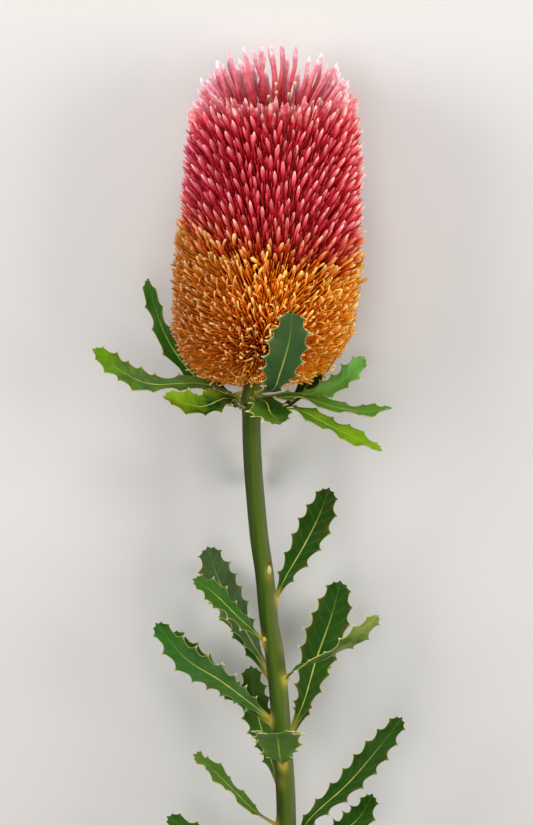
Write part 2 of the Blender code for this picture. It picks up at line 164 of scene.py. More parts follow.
# Random tone of the free row, raised as painted light so that the row stands bright
ROW_TINTS_WITH_PAINTED_LIGHT = (0.6, 1.4)
CUP_FLORETS = 460
CUP_RADIUS = 29.5
CUP_FLOOR_Y = 61.5
CUP_RISE = 0.26
CUP_FRONT_DROP = 4.0
CUP_LENGTH = 22.0
CUP_LEAN = 0.020
CUP_SIDES = 6
CUP_STOUTNESS = 1.2
CUP_SIZES = (0.85, 1.15)
CUP_EDGE = (-4.5, 2.5)
CUP_SCATTER = 0.06
CUP_ARCH = 0.4
CUP_TINTS = (-0.3, 0.7)
CUP_BORDER = (0.3, 0.9)
# Tips of the last few florets in the cup, to the right, up and above the axis
YOUNG_TIPS = (
    (0.5, 70.0, 4.0), (3.4, 75.8, -2.0), (8.8, 71.2, 2.0),
    (3.6, 72.0, 1.0), (11.5, 76.0, -1.0), (1.2, 66.5, 6.0),
)
YOUNG_WAY = (0.0, 1.0, 0.15)
YOUNG_ACROSS = (1.0, 0.0, 0.2)
YOUNG_SCATTER = 0.10
YOUNG_ROOT_SCATTER = 0.06
YOUNG_SIZES = (0.8, 1.1)
YOUNG_LENGTH = 16.0
YOUNG_STATIONS = (0.0, 0.5, 0.86, 0.92, 0.95, 0.98, 1.0)
YOUNG_THICKNESS = (0.26, 0.27, 0.30, 0.54, 0.72, 0.58, 0.22)


def mixed(a, b, share):
    return a + (b - a) * share


def head_axis(up):
    """Points of the head's axis at distances up from its foot."""
    y = HEAD_FOOT_Y + up
    return np.stack((HEAD_LEAN * y + HEAD_BOW * y * y, y, np.full_like(y, AXIS_HEIGHT)), -1)


def outward(turn):
    return np.stack((np.cos(turn), np.zeros_like(turn), np.sin(turn)), -1)


def to_front(turn):
    return np.clip(np.sin(turn), 0.0, 1.0)


def floret_way(up, turn):
    """Unit vectors along the florets whose tips are at these places of the head."""
    front = 1.0 - FRONT_STEEPNESS * to_front(turn)
    front = np.where(up > BORDER_AT_TIPS, front, 1.0)
    slope = np.radians(np.interp(up, SLOPE_UPS, SLOPES) * front)[:, None]
    return np.sin(slope) * outward(turn) + np.cos(slope) * STRAIGHT_UP


def floret_places(count):
    """Places spread evenly over the head in a spiral: distance up, turn and tip point."""
    ups = np.linspace(TIP_UPS[0], TIP_UPS[-1], OUTLINE_STEPS)
    radii = np.interp(ups, TIP_UPS, TIP_RADII)
    steps = np.hypot(np.diff(ups), np.diff(radii)) * 0.5 * (radii[1:] + radii[:-1])
    area = np.concatenate(([0.0], np.cumsum(steps)))
    order = np.arange(count)
    up = np.interp((order + 0.5) / count * area[-1], area, ups)
    turn = order * GOLDEN_ANGLE
    tip = head_axis(up) + np.interp(up, TIP_UPS, TIP_RADII)[:, None] * outward(turn)
    return up, turn, tip


def over_border(up, tip):
    """How far the tips are above the line where open florets give way to buds."""
    away = tip - head_axis(up)
    return up + BORDER_SIDE_TILT * away[:, 0] + BORDER_BACK_TILT * away[:, 2] - BORDER_AT_TIPS


def unit(vectors):
    return vectors / np.linalg.norm(vectors, axis=-1, keepdims=True)


def scattered(way, amount, rng):
    return unit(way + rng.normal(0.0, amount, way.shape))


def settled(points, clearance):
    """Points with those at the table bent flat along it, a tube's radius above it."""
    above = (points[..., 2] - clearance) / FLOOR_SOFTNESS
    height = clearance + FLOOR_SOFTNESS * np.logaddexp(0.0, above)
    return np.concatenate((points[..., :2], height[..., None]), -1)


def new_piece(name, points, faces, values, material, nodes=()):
    """A smooth-shaded mesh piece that rides on the flower, with per-vertex values."""
    mesh = bpy.data.meshes.new(name)
    mesh.from_pydata((points * MM).tolist(), [], faces)
    for key, numbers in values.items():
        layer = mesh.attributes.new(key, "FLOAT", "POINT")
        layer.data.foreach_set("value", np.asarray(numbers, np.float32))
    mesh.materials.append(material)
    mesh.shade_smooth()
    piece = new_object(name, mesh)
    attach(piece, "root")
    if nodes:
        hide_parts(*nodes)
    return piece


def swept(lines, radii, normals, sides):
    """Closed round tubes along many lines at once: points and faces.

    lines is tubes x stations x 3, radii tubes x stations, and normals holds for each
    tube a vector square to the plane that it bends in.
    """
    count, stations = radii.shape
    along = unit(np.gradient(lines, axis=1))
    first = np.broadcast_to(normals[:, None, :], along.shape)
    second = unit(np.cross(along, first))
    first = np.cross(second, along)
    angles = np.linspace(0.0, math.tau, sides, endpoint=False)
    ring = (np.cos(angles)[:, None] * first[:, :, None, :]
            + np.sin(angles)[:, None] * second[:, :, None, :])
    rings = lines[:, :, None, :] + radii[:, :, None, None] * ring
    ends = np.stack((lines[:, 0], lines[:, -1] + TUBE_END_BULGE * radii[:, -1:] * along[:, -1]), 1)
    size = stations * sides + 2
    points = np.concatenate((rings.reshape(count, -1, 3), ends), 1).reshape(-1, 3)
    one = []
    for i in range(stations - 1):
        for j in range(sides):
            k = (j + 1) % sides
            one.append((i * sides + j, (i + 1) * sides + j, (i + 1) * sides + k, i * sides + k))
    last = (stations - 1) * sides
    for j in range(sides):
        k = (j + 1) % sides
        one.append((size - 2, j, k))
        one.append((size - 1, last + k, last + j))
    faces = [tuple(n * size + v for v in face) for n in range(count) for face in one]
    return points, faces


def arched_lines(tip, way, inner_way, length, stations):
    """Gently arched lines: they leave their roots along inner_way and end along way."""
    t = np.asarray(stations)[None, :, None]
    middle = tip - 0.5 * length[:, None] * way
    root = middle - 0.5 * length[:, None] * inner_way
    a, b, c = root[:, None, :], middle[:, None, :], tip[:, None, :]
    return (1 - t) ** 2 * a + 2 * t * (1 - t) * b + t**2 * c


def floret_piece(name, node, skin, lines, radii, normals, sides, along, marks):
    """One piece of many florets. marks holds a value for each floret under each key."""
    points, faces = swept(settled(lines, radii.max()), radii, normals, sides)
    shares = {key: value[:, None] for key, value in marks.items()}
    shares["along"] = np.asarray(along)[None, :]
    values = {}
    for key, value in shares.items():
        full = value + np.zeros_like(radii)
        rings = np.repeat(full, sides, axis=1)
        values[key] = np.concatenate((rings, full[:, :1], full[:, -1:]), 1).ravel()
    new_piece(name, points, faces, values, skin, [node])


def new_material(name):
    material = bpy.data.materials.new(name)
    material.use_nodes = True
    return material, material.node_tree, material.node_tree.nodes["Principled BSDF"]


def new_group(name, inputs, outputs):
    """A shader node group with number sockets of these names, and its two ends."""
    group = bpy.data.node_groups.new(name, "ShaderNodeTree")
    for end, keys in (("INPUT", inputs), ("OUTPUT", outputs)):
        for key in keys:
            group.interface.new_socket(key, in_out=end, socket_type="NodeSocketFloat")
    return group, group.nodes.new("NodeGroupInput"), group.nodes.new("NodeGroupOutput")


def feed(tree, given, socket):
    """Join a socket to the given one, or set it to the given number or colour."""
    if isinstance(given, bpy.types.NodeSocket):
        tree.links.new(given, socket)
    elif isinstance(given, tuple):
        socket.default_value = (*given, 1.0)
    else:
        socket.default_value = given


def ramp_node(tree, stops):
    ramp = tree.nodes.new("ShaderNodeValToRGB")
    elements = ramp.color_ramp.elements
    while len(elements) < len(stops):
        elements.new(0.5)
    for element, (at, colour) in zip(elements, stops):
        element.position = at
        element.color = (*colour, 1.0)
    return ramp


def value_node(tree, key):
    node = tree.nodes.new("ShaderNodeAttribute")
    node.attribute_name = key
    return node.outputs["Fac"]


def mix_node(tree, factor, first, second, blend="MIX"):
    """A colour mix. Each of the three may be a socket or a plain value."""
    node = tree.nodes.new("ShaderNodeMix")
    node.data_type = "RGBA"
    node.blend_type = blend
    node.clamp_factor = True
    for number, given in ((0, factor), (6, first), (7, second)):
        feed(tree, given, node.inputs[number])
    return node.outputs[2]


def math_node(tree, operation, *given):
    node = tree.nodes.new("ShaderNodeMath")
    node.operation = operation
    for socket, value in zip(node.inputs, given):
        feed(tree, value, socket)
    return node.outputs[0]


def noise_node(tree, place, scale, detail):
    node = tree.nodes.new("ShaderNodeTexNoise")
    node.inputs["Detail"].default_value = detail
    tree.links.new(place, node.inputs["Vector"])
    feed(tree, scale, node.inputs["Scale"])
    return node.outputs["Fac"]


FINE_GRAIN = 4.0


def grain_group():
    """Fine plant-skin grain in object space: a mottle from 0 to 1 and a bump height."""
    group, given, put = new_group("plant grain", ("Scale",), ("Mottle", "Height"))
    place = group.nodes.new("ShaderNodeTexCoord").outputs["Object"]
    finer = math_node(group, "MULTIPLY", given.outputs["Scale"], FINE_GRAIN)
    group.links.new(noise_node(group, place, given.outputs["Scale"], 3.0), put.inputs["Mottle"])
    group.links.new(noise_node(group, place, finer, 2.0), put.inputs["Height"])
    return group


GRAIN = grain_group()


def grain_node(tree, scale):
    node = tree.nodes.new("ShaderNodeGroup")
    node.node_tree = GRAIN
    node.inputs["Scale"].default_value = scale
    return node


def bump_node(tree, height, strength, depth):
    bump = tree.nodes.new("ShaderNodeBump")
    bump.inputs["Strength"].default_value = strength
    bump.inputs["Distance"].default_value = depth
    tree.links.new(height, bump.inputs["Height"])
    return bump.outputs["Normal"]


FLORET_GRAIN = 420.0
TINT_SHIFT = 0.07
TINT_BRIGHTNESS = 0.45
LEAST_BRIGHTNESS = 0.78


def floret_material(name, stops, border_stops, left_painted_shade, sheen, mottle):
    """Skin of a floret: its colour runs from the root, near black there as painted shade
    deep in the head, to the pale tip, each a bit unlike the next. Those near the border go
    over to the other ramp, and those on the left take a tint of painted shade."""
    material, tree, shader = new_material(name)
    tint = value_node(tree, "tint")
    grain = grain_node(tree, FLORET_GRAIN)
    paler = math_node(tree, "SUBTRACT", tint, 0.5)
    shifted = math_node(tree, "MULTIPLY_ADD", paler, TINT_SHIFT, value_node(tree, "along"))
    spots = math_node(tree, "SUBTRACT", grain.outputs["Mottle"], 0.5)
    mottled = math_node(tree, "MULTIPLY_ADD", spots, mottle, shifted)
    base = ramp_node(tree, stops)
    other = ramp_node(tree, border_stops)
    tree.links.new(mottled, base.inputs["Fac"])
    tree.links.new(mottled, other.inputs["Fac"])
    colour = mix_node(tree, value_node(tree, "border"), base.outputs["Color"], other.outputs["Color"])
    # Painted shade: florets on the left, away from the stronger light, take a darker, cooler tint
    colour = mix_node(tree, value_node(tree, "left"), colour, left_painted_shade, "MULTIPLY")
    # The tint sets each floret's brightness: a random tone, plus painted light where some pieces add it
    bright = tree.nodes.new("ShaderNodeHueSaturation")
    brightness = math_node(tree, "MULTIPLY_ADD", tint, TINT_BRIGHTNESS, LEAST_BRIGHTNESS)
    tree.links.new(brightness, bright.inputs["Value"])
    tree.links.new(colour, bright.inputs["Color"])
    tree.links.new(bright.outputs["Color"], shader.inputs["Base Color"])
    tree.links.new(bump_node(tree, grain.outputs["Height"], 0.35, 0.0002), shader.inputs["Normal"])
    shader.inputs["Roughness"].default_value = 0.55
    shader.inputs["Specular IOR Level"].default_value = 0.05
    shader.inputs["Sheen Weight"].default_value = sheen
    shader.inputs["Sheen Roughness"].default_value = 0.35
    shader.inputs["Sheen Tint"].default_value = (1.0, 0.88, 0.90, 1.0)
    shader.inputs["Subsurface Weight"].default_value = 0.30
    shader.inputs["Subsurface Radius"].default_value = (1.0, 0.3, 0.15)
    shader.inputs["Subsurface Scale"].default_value = 0.0014
    return material


# The near-black root ends of these ramps are painted shade deep among the florets
BUD_STOPS = (
    (0.0, (0.030, 0.001, 0.002)),
    (0.40, (0.40, 0.001, 0.002)),
    (0.60, (0.62, 0.003, 0.007)),
    (0.76, (0.76, 0.024, 0.048)),
    (0.88, (0.86, 0.115, 0.150)),
    (0.96, (0.93, 0.29, 0.28)),
    (1.0, (0.97, 0.52, 0.46)),
)
BORDER_BUD_STOPS = (
    (0.0, (0.035, 0.001, 0.001)),
    (0.45, (0.22, 0.004, 0.001)),
    (0.68, (0.52, 0.032, 0.004)),
    (0.80, (0.74, 0.095, 0.016)),
    (0.90, (0.84, 0.22, 0.050)),
    (1.0, (0.93, 0.47, 0.18)),
)
CROWN_STOPS = (
    (0.0, (0.06, 0.001, 0.002)),
    (0.30, (0.40, 0.012, 0.020)),
    (0.55, (0.56, 0.085, 0.110)),
    (0.76, (0.62, 0.175, 0.215)),
    (0.88, (0.70, 0.30, 0.36)),
    (0.96, (0.82, 0.46, 0.50)),
    (1.0, (0.90, 0.64, 0.68)),
)
YOUNG_STOPS = (
    (0.0, (0.12, 0.010, 0.004)),
    (0.80, (0.28, 0.045, 0.018)),
    (0.93, (0.58, 0.34, 0.16)),
    (1.0, (0.78, 0.58, 0.36)),
)
# Painted shade on the left of the head, for each kind of floret
BUD_LEFT_PAINTED_SHADE = (0.86, 0.95, 1.22)
CROWN_LEFT_PAINTED_SHADE = (1.0, 0.98, 1.05)
PLAIN_TINT = (1.0, 1.0, 1.0)

bud_skin = floret_material("bud skin", BUD_STOPS, BORDER_BUD_STOPS, BUD_LEFT_PAINTED_SHADE, 0.03, 0.10)
crown_skin = floret_material("crown skin", CROWN_STOPS, BUD_STOPS, CROWN_LEFT_PAINTED_SHADE, 0.12, 0.55)
young_skin = floret_material("young floret skin", YOUNG_STOPS, YOUNG_STOPS, PLAIN_TINT, 0.0, 0.10)


def to_side(tip, side):
    """How far to the right (side 1) or the left (side -1) the tips are, from 0 to 1."""
    return np.clip(side * tip[:, 0] / HEAD_SIDE_REACH, 0.0, 1.0)


def border_share(past, band, spread, rng):
    """How much of the border's colours a floret takes, from 1 at the border to 0."""
    return np.clip(BORDER_MIX + past / band + rng.normal(0.0, spread, len(past)), 0.0, 1.0)


def bud_marks(tip, over, rng):
    return {
        # tint: a random tone for each floret, plus painted light on the right
        "tint": rng.uniform(0.0, 1.0, len(over)) + RIGHT_PAINTED_LIGHT * to_side(tip, 1.0),
        "border": border_share(-over, BORDER_BAND, BORDER_SPREAD, rng),
        # left: how far on the left a floret is, for its painted shade
        "left": to_side(tip, -1.0),
    }


def varied(thickness, sizes, count, rng):
    """Radii along each of many florets, each a little stouter or finer than the next."""
    return np.asarray(thickness)[None, :] * rng.uniform(*sizes, count)[:, None]


def make_buds(name, on_whole_head, drop, sides, stations, thickness, reach, seed):
    """The buds below the crown, whose tips lie at some drop under the outline."""
    rng = np.random.default_rng(seed)
    up, turn, tip = floret_places(on_whole_head)
    over = over_border(up, tip)
    keep = (over > rng.uniform(*BUD_EDGE, len(up))) & (up < CROWN_FROM)
    up, turn, tip, over = up[keep], turn[keep], tip[keep], over[keep]
    way = scattered(floret_way(up, turn), BUD_SCATTER, rng)
    depth = mixed(*drop, rng.uniform(0.0, 1.0, len(up)) ** BUD_DEPTH_POWER)
    tip = tip - depth[:, None] * way
    length = np.full(len(up), BUD_LENGTH)
    lines = arched_lines(tip, way, unit(mixed(way, outward(turn), BUD_ARCH)), length, stations)
    radii = varied(thickness, BUD_SIZES, len(up), rng)
    normals = unit(np.cross(way, outward(turn)))
    along = [station * reach for station in stations]
    floret_piece(name, "bud_florets", bud_skin, lines, radii, normals, sides, along,
                 bud_marks(tip, over, rng))


def make_shafts(name, node, skin, above, arch, drop, tints, seed):
    """The slender combed shafts that show between the tips of the florets."""
    rng = np.random.default_rng(seed)
    up, turn, tip = floret_places(SHAFTS_ON_WHOLE_HEAD)
    over = over_border(up, tip)
    past = over > rng.uniform(*SHAFT_EDGE, len(up))
    keep = past & (up < CROWN_FROM + SHAFTS_INTO_CROWN) if above else ~past
    up, turn, tip, over = up[keep], turn[keep], tip[keep], over[keep]
    way = scattered(floret_way(up, turn), SHAFT_SCATTER, rng)
    tip = tip - rng.uniform(*drop, len(up))[:, None] * way
    length = np.full(len(up), SHAFT_LENGTH)
    lines = arched_lines(tip, way, unit(mixed(way, outward(turn), arch)), length, SHAFT_STATIONS)
    radii = varied(SHAFT_THICKNESS, SHAFT_SIZES, len(up), rng)
    marks = bud_marks(tip, over, rng)
    marks["tint"] = rng.uniform(*tints, len(up))
    if not above:
        # Painted light on the open shafts that face up
        marks["tint"] += FRONT_PAINTED_LIGHT * to_front(turn)
        marks["border"] = np.clip(1.0 + over / SHAFT_BORDER_BAND, 0.0, 1.0)
    normals = unit(np.cross(way, outward(turn)))
    along = [station * SHAFT_COLOUR_REACH for station in SHAFT_STATIONS]
    floret_piece(name, node, skin, lines, radii, normals, SHAFT_SIDES, along, marks)


def make_crown():
    """The long stout florets round a cup that is open to the front, with the free row."""
    rng = np.random.default_rng(12)
    up, turn, tip = floret_places(CROWN_ON_WHOLE_HEAD)
    front = np.clip(CROWN_FRONT_SHARPNESS * np.sin(turn), 0.0, 1.0)
    top = mixed(CROWN_BACK_TOP, CROWN_FRONT_TOP, front) + rng.uniform(*CROWN_EDGE, len(up))
    keep = (up >= CROWN_FROM) & (up < top)
    up, turn, tip = up[keep], turn[keep], tip[keep]
    way = scattered(floret_way(up, turn), CROWN_SCATTER, rng)
    tip = tip - rng.uniform(*CROWN_DROP, len(up))[:, None] * way
    inner_way = scattered(unit(mixed(way, outward(turn), CROWN_ARCH)), CROWN_ROOT_SCATTER, rng)

    row = np.array(CROWN_ROW)
    row_up = row[:, 1] - HEAD_FOOT_Y
    centre = head_axis(row_up)
    aside = row[:, 0] - centre[:, 0]
    behind = np.sqrt(np.maximum(np.interp(row_up, TIP_UPS, TIP_RADII) ** 2 - aside**2, 0.0))
    behind = behind + rng.uniform(*ROW_SETBACK, len(row))
    away = np.stack((aside, np.zeros_like(aside), -behind), -1)
    row_way = scattered(STRAIGHT_UP + ROW_LEAN * ROW_LEAN_AT_TIP * away, ROW_SCATTER, rng)
    row_inner = scattered(STRAIGHT_UP + ROW_LEAN * ROW_LEAN_AT_ROOT * away, ROW_ROOT_SCATTER, rng)

    tip = np.concatenate((tip, centre + away))
    way = np.concatenate((way, row_way))
    inner_way = np.concatenate((inner_way, row_inner))
    up = np.concatenate((up, row_up))
    lines = arched_lines(tip, way, inner_way, np.full(len(up), CROWN_LENGTH), BUD_STATIONS)
    start = rng.uniform(0.0, 1.0, len(up))[:, None]
    turns = math.tau * (CROWN_WAVES * np.array(BUD_STATIONS)[None, :] + start)
    lines[..., 0] += CROWN_WAVE * np.sin(turns)
    lines[..., 2] += CROWN_WAVE * np.cos(turns)
    radii = varied(CROWN_THICKNESS, CROWN_SIZES, len(up), rng)
    radii[-len(row):] *= ROW_STOUTNESS * rng.uniform(*ROW_SIZES, len(row))[:, None]
    normals = unit(np.cross(way, ASLANT))
    marks = bud_marks(tip, over_border(up, tip), rng)
    # The free row takes its raised tone: painted light
    marks["tint"][-len(row):] = rng.uniform(*ROW_TINTS_WITH_PAINTED_LIGHT, len(row))
    marks["border"] = border_share(CROWN_FROM - up, CROWN_BORDER_BAND, CROWN_BORDER_SPREAD, rng)
    floret_piece("crown_florets", "bud_florets", crown_skin, lines, radii, normals, CROWN_SIDES,
                 BUD_STATIONS, marks)


def make_cup_florets():
    """The short florets that cover the floor of the cup."""
    rng = np.random.default_rng(14)
    order = np.arange(CUP_FLORETS)
    away = CUP_RADIUS * np.sqrt((order + 0.5) / CUP_FLORETS)
    out = outward(order * GOLDEN_ANGLE)
    up = CUP_FLOOR_Y - HEAD_FOOT_Y + CUP_RISE * away + rng.uniform(*CUP_EDGE, CUP_FLORETS)
    up = up - CUP_FRONT_DROP * away / CUP_RADIUS * np.clip(out[:, 2], 0.0, 1.0)
    tip = head_axis(up) + away[:, None] * out
    way = scattered(STRAIGHT_UP + CUP_LEAN * away[:, None] * out, CUP_SCATTER, rng)
    inner_way = unit(mixed(way, STRAIGHT_UP, CUP_ARCH))
    length = np.full(CUP_FLORETS, CUP_LENGTH)
    lines = arched_lines(tip, way, inner_way, length, LOWER_BUD_STATIONS)
    radii = CUP_STOUTNESS * varied(LOWER_BUD_THICKNESS, CUP_SIZES, CUP_FLORETS, rng)
    normals = unit(np.cross(way, ASLANT))
    marks = bud_marks(tip, over_border(up, tip), rng)
    marks["tint"] = rng.uniform(*CUP_TINTS, CUP_FLORETS)
    marks["border"] = rng.uniform(*CUP_BORDER, CUP_FLORETS)
    floret_piece("cup_florets", "bud_florets", crown_skin, lines, radii, normals, CUP_SIDES,
                 LOWER_BUD_STATIONS, marks)


def make_young_florets():
    """The last few florets in the middle of the crown: thin, with cream knobs."""
    rng = np.random.default_rng(13)
    tip = np.array(YOUNG_TIPS) + np.array((0.0, 0.0, AXIS_HEIGHT))
    count = len(tip)
    way = scattered(np.array((YOUNG_WAY,) * count), YOUNG_SCATTER, rng)
    inner_way = scattered(way, YOUNG_ROOT_SCATTER, rng)
    lines = arched_lines(tip, way, inner_way, np.full(count, YOUNG_LENGTH), YOUNG_STATIONS)
    radii = varied(YOUNG_THICKNESS, YOUNG_SIZES, count, rng)
    normals = unit(np.cross(way, YOUNG_ACROSS))
    marks = bud_marks(tip, over_border(tip[:, 1] - HEAD_FOOT_Y, tip), rng)
    floret_piece("young_florets", "bud_florets", young_skin, lines, radii, normals, BUD_SIDES,
                 YOUNG_STATIONS, marks)


make_buds("buds_outer", BUDS_ON_WHOLE_HEAD, (0.0, 3.5), BUD_SIDES, BUD_STATIONS, BUD_THICKNESS, 1.0, 5)
make_buds("buds_lower", LOWER_BUDS_ON_WHOLE_HEAD, (2.5, 8.0), LOWER_BUD_SIDES, LOWER_BUD_STATIONS,
          LOWER_BUD_THICKNESS, LOWER_BUD_PAINTED_SHADE_REACH, 6)
make_shafts("bud_shafts", "bud_florets", bud_skin, True, BUD_ARCH, BUD_SHAFT_DROP, BUD_SHAFT_TINTS, 7)
make_crown()
make_cup_florets()
make_young_florets()

# Open florets
# The lower part of the head: florets that have opened. Each is a long stiff style with a
# blunt pale end that bends over a little. Those next to the buds are still half closed,
# straight and club-shaped.
STRANDS_ON_WHOLE_HEAD = 2150
STRAND_LENGTH = 24.0
STRAND_SIDES = 6
STRAND_STATIONS = (0.0, 0.42, 0.70, 0.80, 0.86, 0.91, 0.95, 0.98, 1.0)
STRAND_THICKNESS = (0.26, 0.30, 0.31, 0.33, 0.37, 0.44, 0.50, 0.44, 0.20)
LOWER_STRANDS_ON_WHOLE_HEAD = 2200
LOWER_STRAND_SIDES = 4
LOWER_STRAND_STATIONS = (0.0, 0.45, 0.76, 0.86, 0.92, 0.97, 1.0)
LOWER_STRAND_THICKNESS = (0.26, 0.28, 0.30, 0.32, 0.38, 0.38, 0.18)
FOOT_OPENING = 10.0
CLUB_SIDES = 7
CLUBS_ON_WHOLE_HEAD = 2000
CLUB_STATIONS = (0.0, 0.38, 0.60, 0.72, 0.81, 0.89, 0.95, 0.98, 1.0)
CLUB_THICKNESS = (0.38, 0.42, 0.47, 0.55, 0.66, 0.76, 0.74, 0.56, 0.24)
CLUB_BAND = 17.0
CLUB_SHARE_POWER = 1.3
CLUB_EDGE = (-4.0, 7.0)
CLUB_STRAIGHT = 0.4
STRAND_EDGE = (-4.0, 3.0)
STRAND_STRAIGHT = (0.70, 0.86)
STRANDS_GIVE_WAY = 0.8
STRAND_SIZES = (0.80, 1.15)
STRAND_LENGTHS = (0.92, 1.08)
STRAND_SCATTER = 0.08
STRAND_DEPTH_POWER = 1.2
STRAND_BORDER_SPREAD = 0.15
SLIGHT_BENDS = (4.0, 22.0)
HOOK_BENDS = (15.0, 75.0)
HOOKED_SHARE = 0.60
LOOSE_SHARE = 0.34
LOOSENESS = 3.2
LEAN_SPREAD = 0.7
UPWARD_LEAN = 0.9
OPEN_ARCH = 0.25
OPEN_SHAFT_DROP = (0.8, 5.5)
OPEN_SHAFT_TINTS = (-0.35, 0.9)
# Painted light: florets on the upper face of the head, towards the camera, are made brighter
FRONT_PAINTED_LIGHT = 0.55
FOOT_RAGGEDNESS = 3.5
RAGGED_REACH = (1.5, 12.0)
FOOT_THINNING = 0.45
THINNED_REACH = (1.7, 13.0)

OPEN_STOPS = (
    (0.0, (0.62, 0.075, 0.003)),
    (0.45, (0.84, 0.155, 0.003)),
    (0.70, (0.91, 0.240, 0.006)),
    (0.82, (0.93, 0.32, 0.014)),
    (0.92, (0.94, 0.43, 0.048)),
    (1.0, (0.96, 0.60, 0.19)),
)
# The dark red root end of the club ramp is painted shade deep among the florets
CLUB_STOPS = (
    (0.0, (0.14, 0.004, 0.001)),
    (0.45, (0.50, 0.040, 0.001)),
    (0.66, (0.78, 0.130, 0.002)),
    (0.80, (0.88, 0.27, 0.008)),
    (0.92, (0.93, 0.46, 0.050)),
    (1.0, (0.97, 0.66, 0.20)),
)
# Painted shade: open florets on the left turn duller and browner
OPEN_LEFT_PAINTED_SHADE = (0.62, 0.54, 0.90)

open_skin = floret_material("open skin", OPEN_STOPS, CLUB_STOPS, OPEN_LEFT_PAINTED_SHADE, 0.0, 0.10)


def hooked_lines(tip, way, inner_way, lean, length, bend, straight, stations):
    """Lines that run nearly straight and then bend over towards lean near their tips."""
    curl = length * (1.0 - straight)
    tightness = bend / curl
    s = np.asarray(stations)[None, :] * length[:, None]
    before = np.minimum(s, (length * straight)[:, None])
    turned = (s - before) * tightness[:, None]
    ahead = before + np.sin(turned) / tightness[:, None]
    aside = (1.0 - np.cos(turned)) / tightness[:, None]
    sag = (length[:, None] - s) ** 2 / (2.0 * length[:, None])
    sag = sag[..., None] * (way - inner_way)[:, None, :]
    reach = (length * straight + np.sin(np.minimum(bend, 0.5 * math.pi)) / tightness)[:, None, None]
    return (tip[:, None, :] - reach * way[:, None, :] + ahead[..., None] * way[:, None, :]
            + aside[..., None] * lean[:, None, :] + sag)


def near_foot(up, edge, fade):
    return np.clip(edge - up / fade, 0.0, 1.0)


def make_open_florets(name, on_whole_head, drop, sides, stations, thickness, clubs, seed):
    """Open florets, or the club-shaped half-open ones that lie along the border."""
    rng = np.random.default_rng(seed)
    up, turn, tip = floret_places(on_whole_head)
    over = over_border(up, tip)
    club_share = np.clip(1.0 + over / CLUB_BAND, 0.0, 1.0) ** CLUB_SHARE_POWER
    draw = rng.uniform(0.0, 1.0, len(up))
    away = np.linalg.norm(tip - head_axis(up), axis=1)
    edge = CLUB_EDGE if clubs else STRAND_EDGE
    keep = (over < rng.uniform(*edge, len(up))) & (away > FOOT_OPENING)
    keep &= (draw < club_share) if clubs else (draw > STRANDS_GIVE_WAY * club_share)
    keep &= rng.uniform(0.0, 1.0, len(up)) > FOOT_THINNING * near_foot(up, *THINNED_REACH)
    up, turn, tip, over = up[keep], turn[keep], tip[keep], over[keep]
    count = len(up)
    loose = np.where(rng.uniform(0.0, 1.0, count) < LOOSE_SHARE, LOOSENESS, 1.0)[:, None]
    way = scattered(floret_way(up, turn), STRAND_SCATTER * loose, rng)
    inner_way = unit(mixed(way, outward(turn), OPEN_ARCH))
    lean = rng.normal(0.0, LEAN_SPREAD, way.shape) + UPWARD_LEAN * STRAIGHT_UP
    lean = unit(lean - (lean * way).sum(1, keepdims=True) * way)
    turned_over = rng.uniform(0.0, 1.0, count) < HOOKED_SHARE
    bend = rng.uniform(*SLIGHT_BENDS, count)
    if not clubs:
        bend = bend + rng.uniform(*HOOK_BENDS, count) * turned_over
    bend = np.radians(bend)
    length = STRAND_LENGTH * rng.uniform(*STRAND_LENGTHS, count)
    ragged = rng.uniform(-FOOT_RAGGEDNESS, FOOT_RAGGEDNESS, count) * near_foot(up, *RAGGED_REACH)
    depth = mixed(*drop, rng.uniform(0.0, 1.0, count) ** STRAND_DEPTH_POWER) + ragged
    tip = tip - depth[:, None] * way
    straight = np.full(count, CLUB_STRAIGHT) if clubs else rng.uniform(*STRAND_STRAIGHT, count)
    lines = hooked_lines(tip, way, inner_way, lean, length, bend, straight, stations)
    radii = varied(thickness, STRAND_SIZES, count, rng)
    normals = np.cross(way, lean)
    marks = {
        # tint: a random tone, plus half the painted light on those that face up
        "tint": rng.uniform(0.0, 1.0, count) + 0.5 * FRONT_PAINTED_LIGHT * to_front(turn),
        "border": border_share(over, CLUB_BAND, STRAND_BORDER_SPREAD, rng),
        # left: how far on the left a floret is, for its painted shade
        "left": to_side(tip, -1.0),
    }
    floret_piece(name, "open_florets", open_skin, lines, radii, normals, sides, stations, marks)


make_open_florets("open_strands", STRANDS_ON_WHOLE_HEAD, (0.0, 2.5), STRAND_SIDES, STRAND_STATIONS,
                  STRAND_THICKNESS, False, 9)
make_open_florets("open_strands_lower", LOWER_STRANDS_ON_WHOLE_HEAD, (2.0, 6.0), LOWER_STRAND_SIDES,
                  LOWER_STRAND_STATIONS, LOWER_STRAND_THICKNESS, False, 8)
make_open_florets("half_open_clubs", CLUBS_ON_WHOLE_HEAD, (0.0, 4.0), CLUB_SIDES, CLUB_STATIONS,
                  CLUB_THICKNESS, True, 10)
make_shafts("open_shafts", "open_florets", open_skin, False, OPEN_ARCH, OPEN_SHAFT_DROP,
            OPEN_SHAFT_TINTS, 11)

# Woody axis
# What shows deep between the florets: the dark felt that covers the axis of the head,
# rusty between the open florets, and a near-black crimson between the buds that is painted shade.
CORE_RADIUS = 24.0
CORE_FOOT = 4.0
CORE_TOP = 110.0
CORE_ROUNDNESS = 2.6
CORE_SIDES = 48
CORE_RINGS = 60
CORE_END_RADIUS = 0.2
FELT_GRAIN = 300.0
OPEN_FELT = ((0.3, (0.22, 0.016, 0.002)), (0.7, (0.50, 0.055, 0.005)))
# Painted shade between the buds: a near-black crimson
BUD_FELT_PAINTED_SHADE = (0.075, 0.003, 0.004)
FELT_CHANGE = 12.0


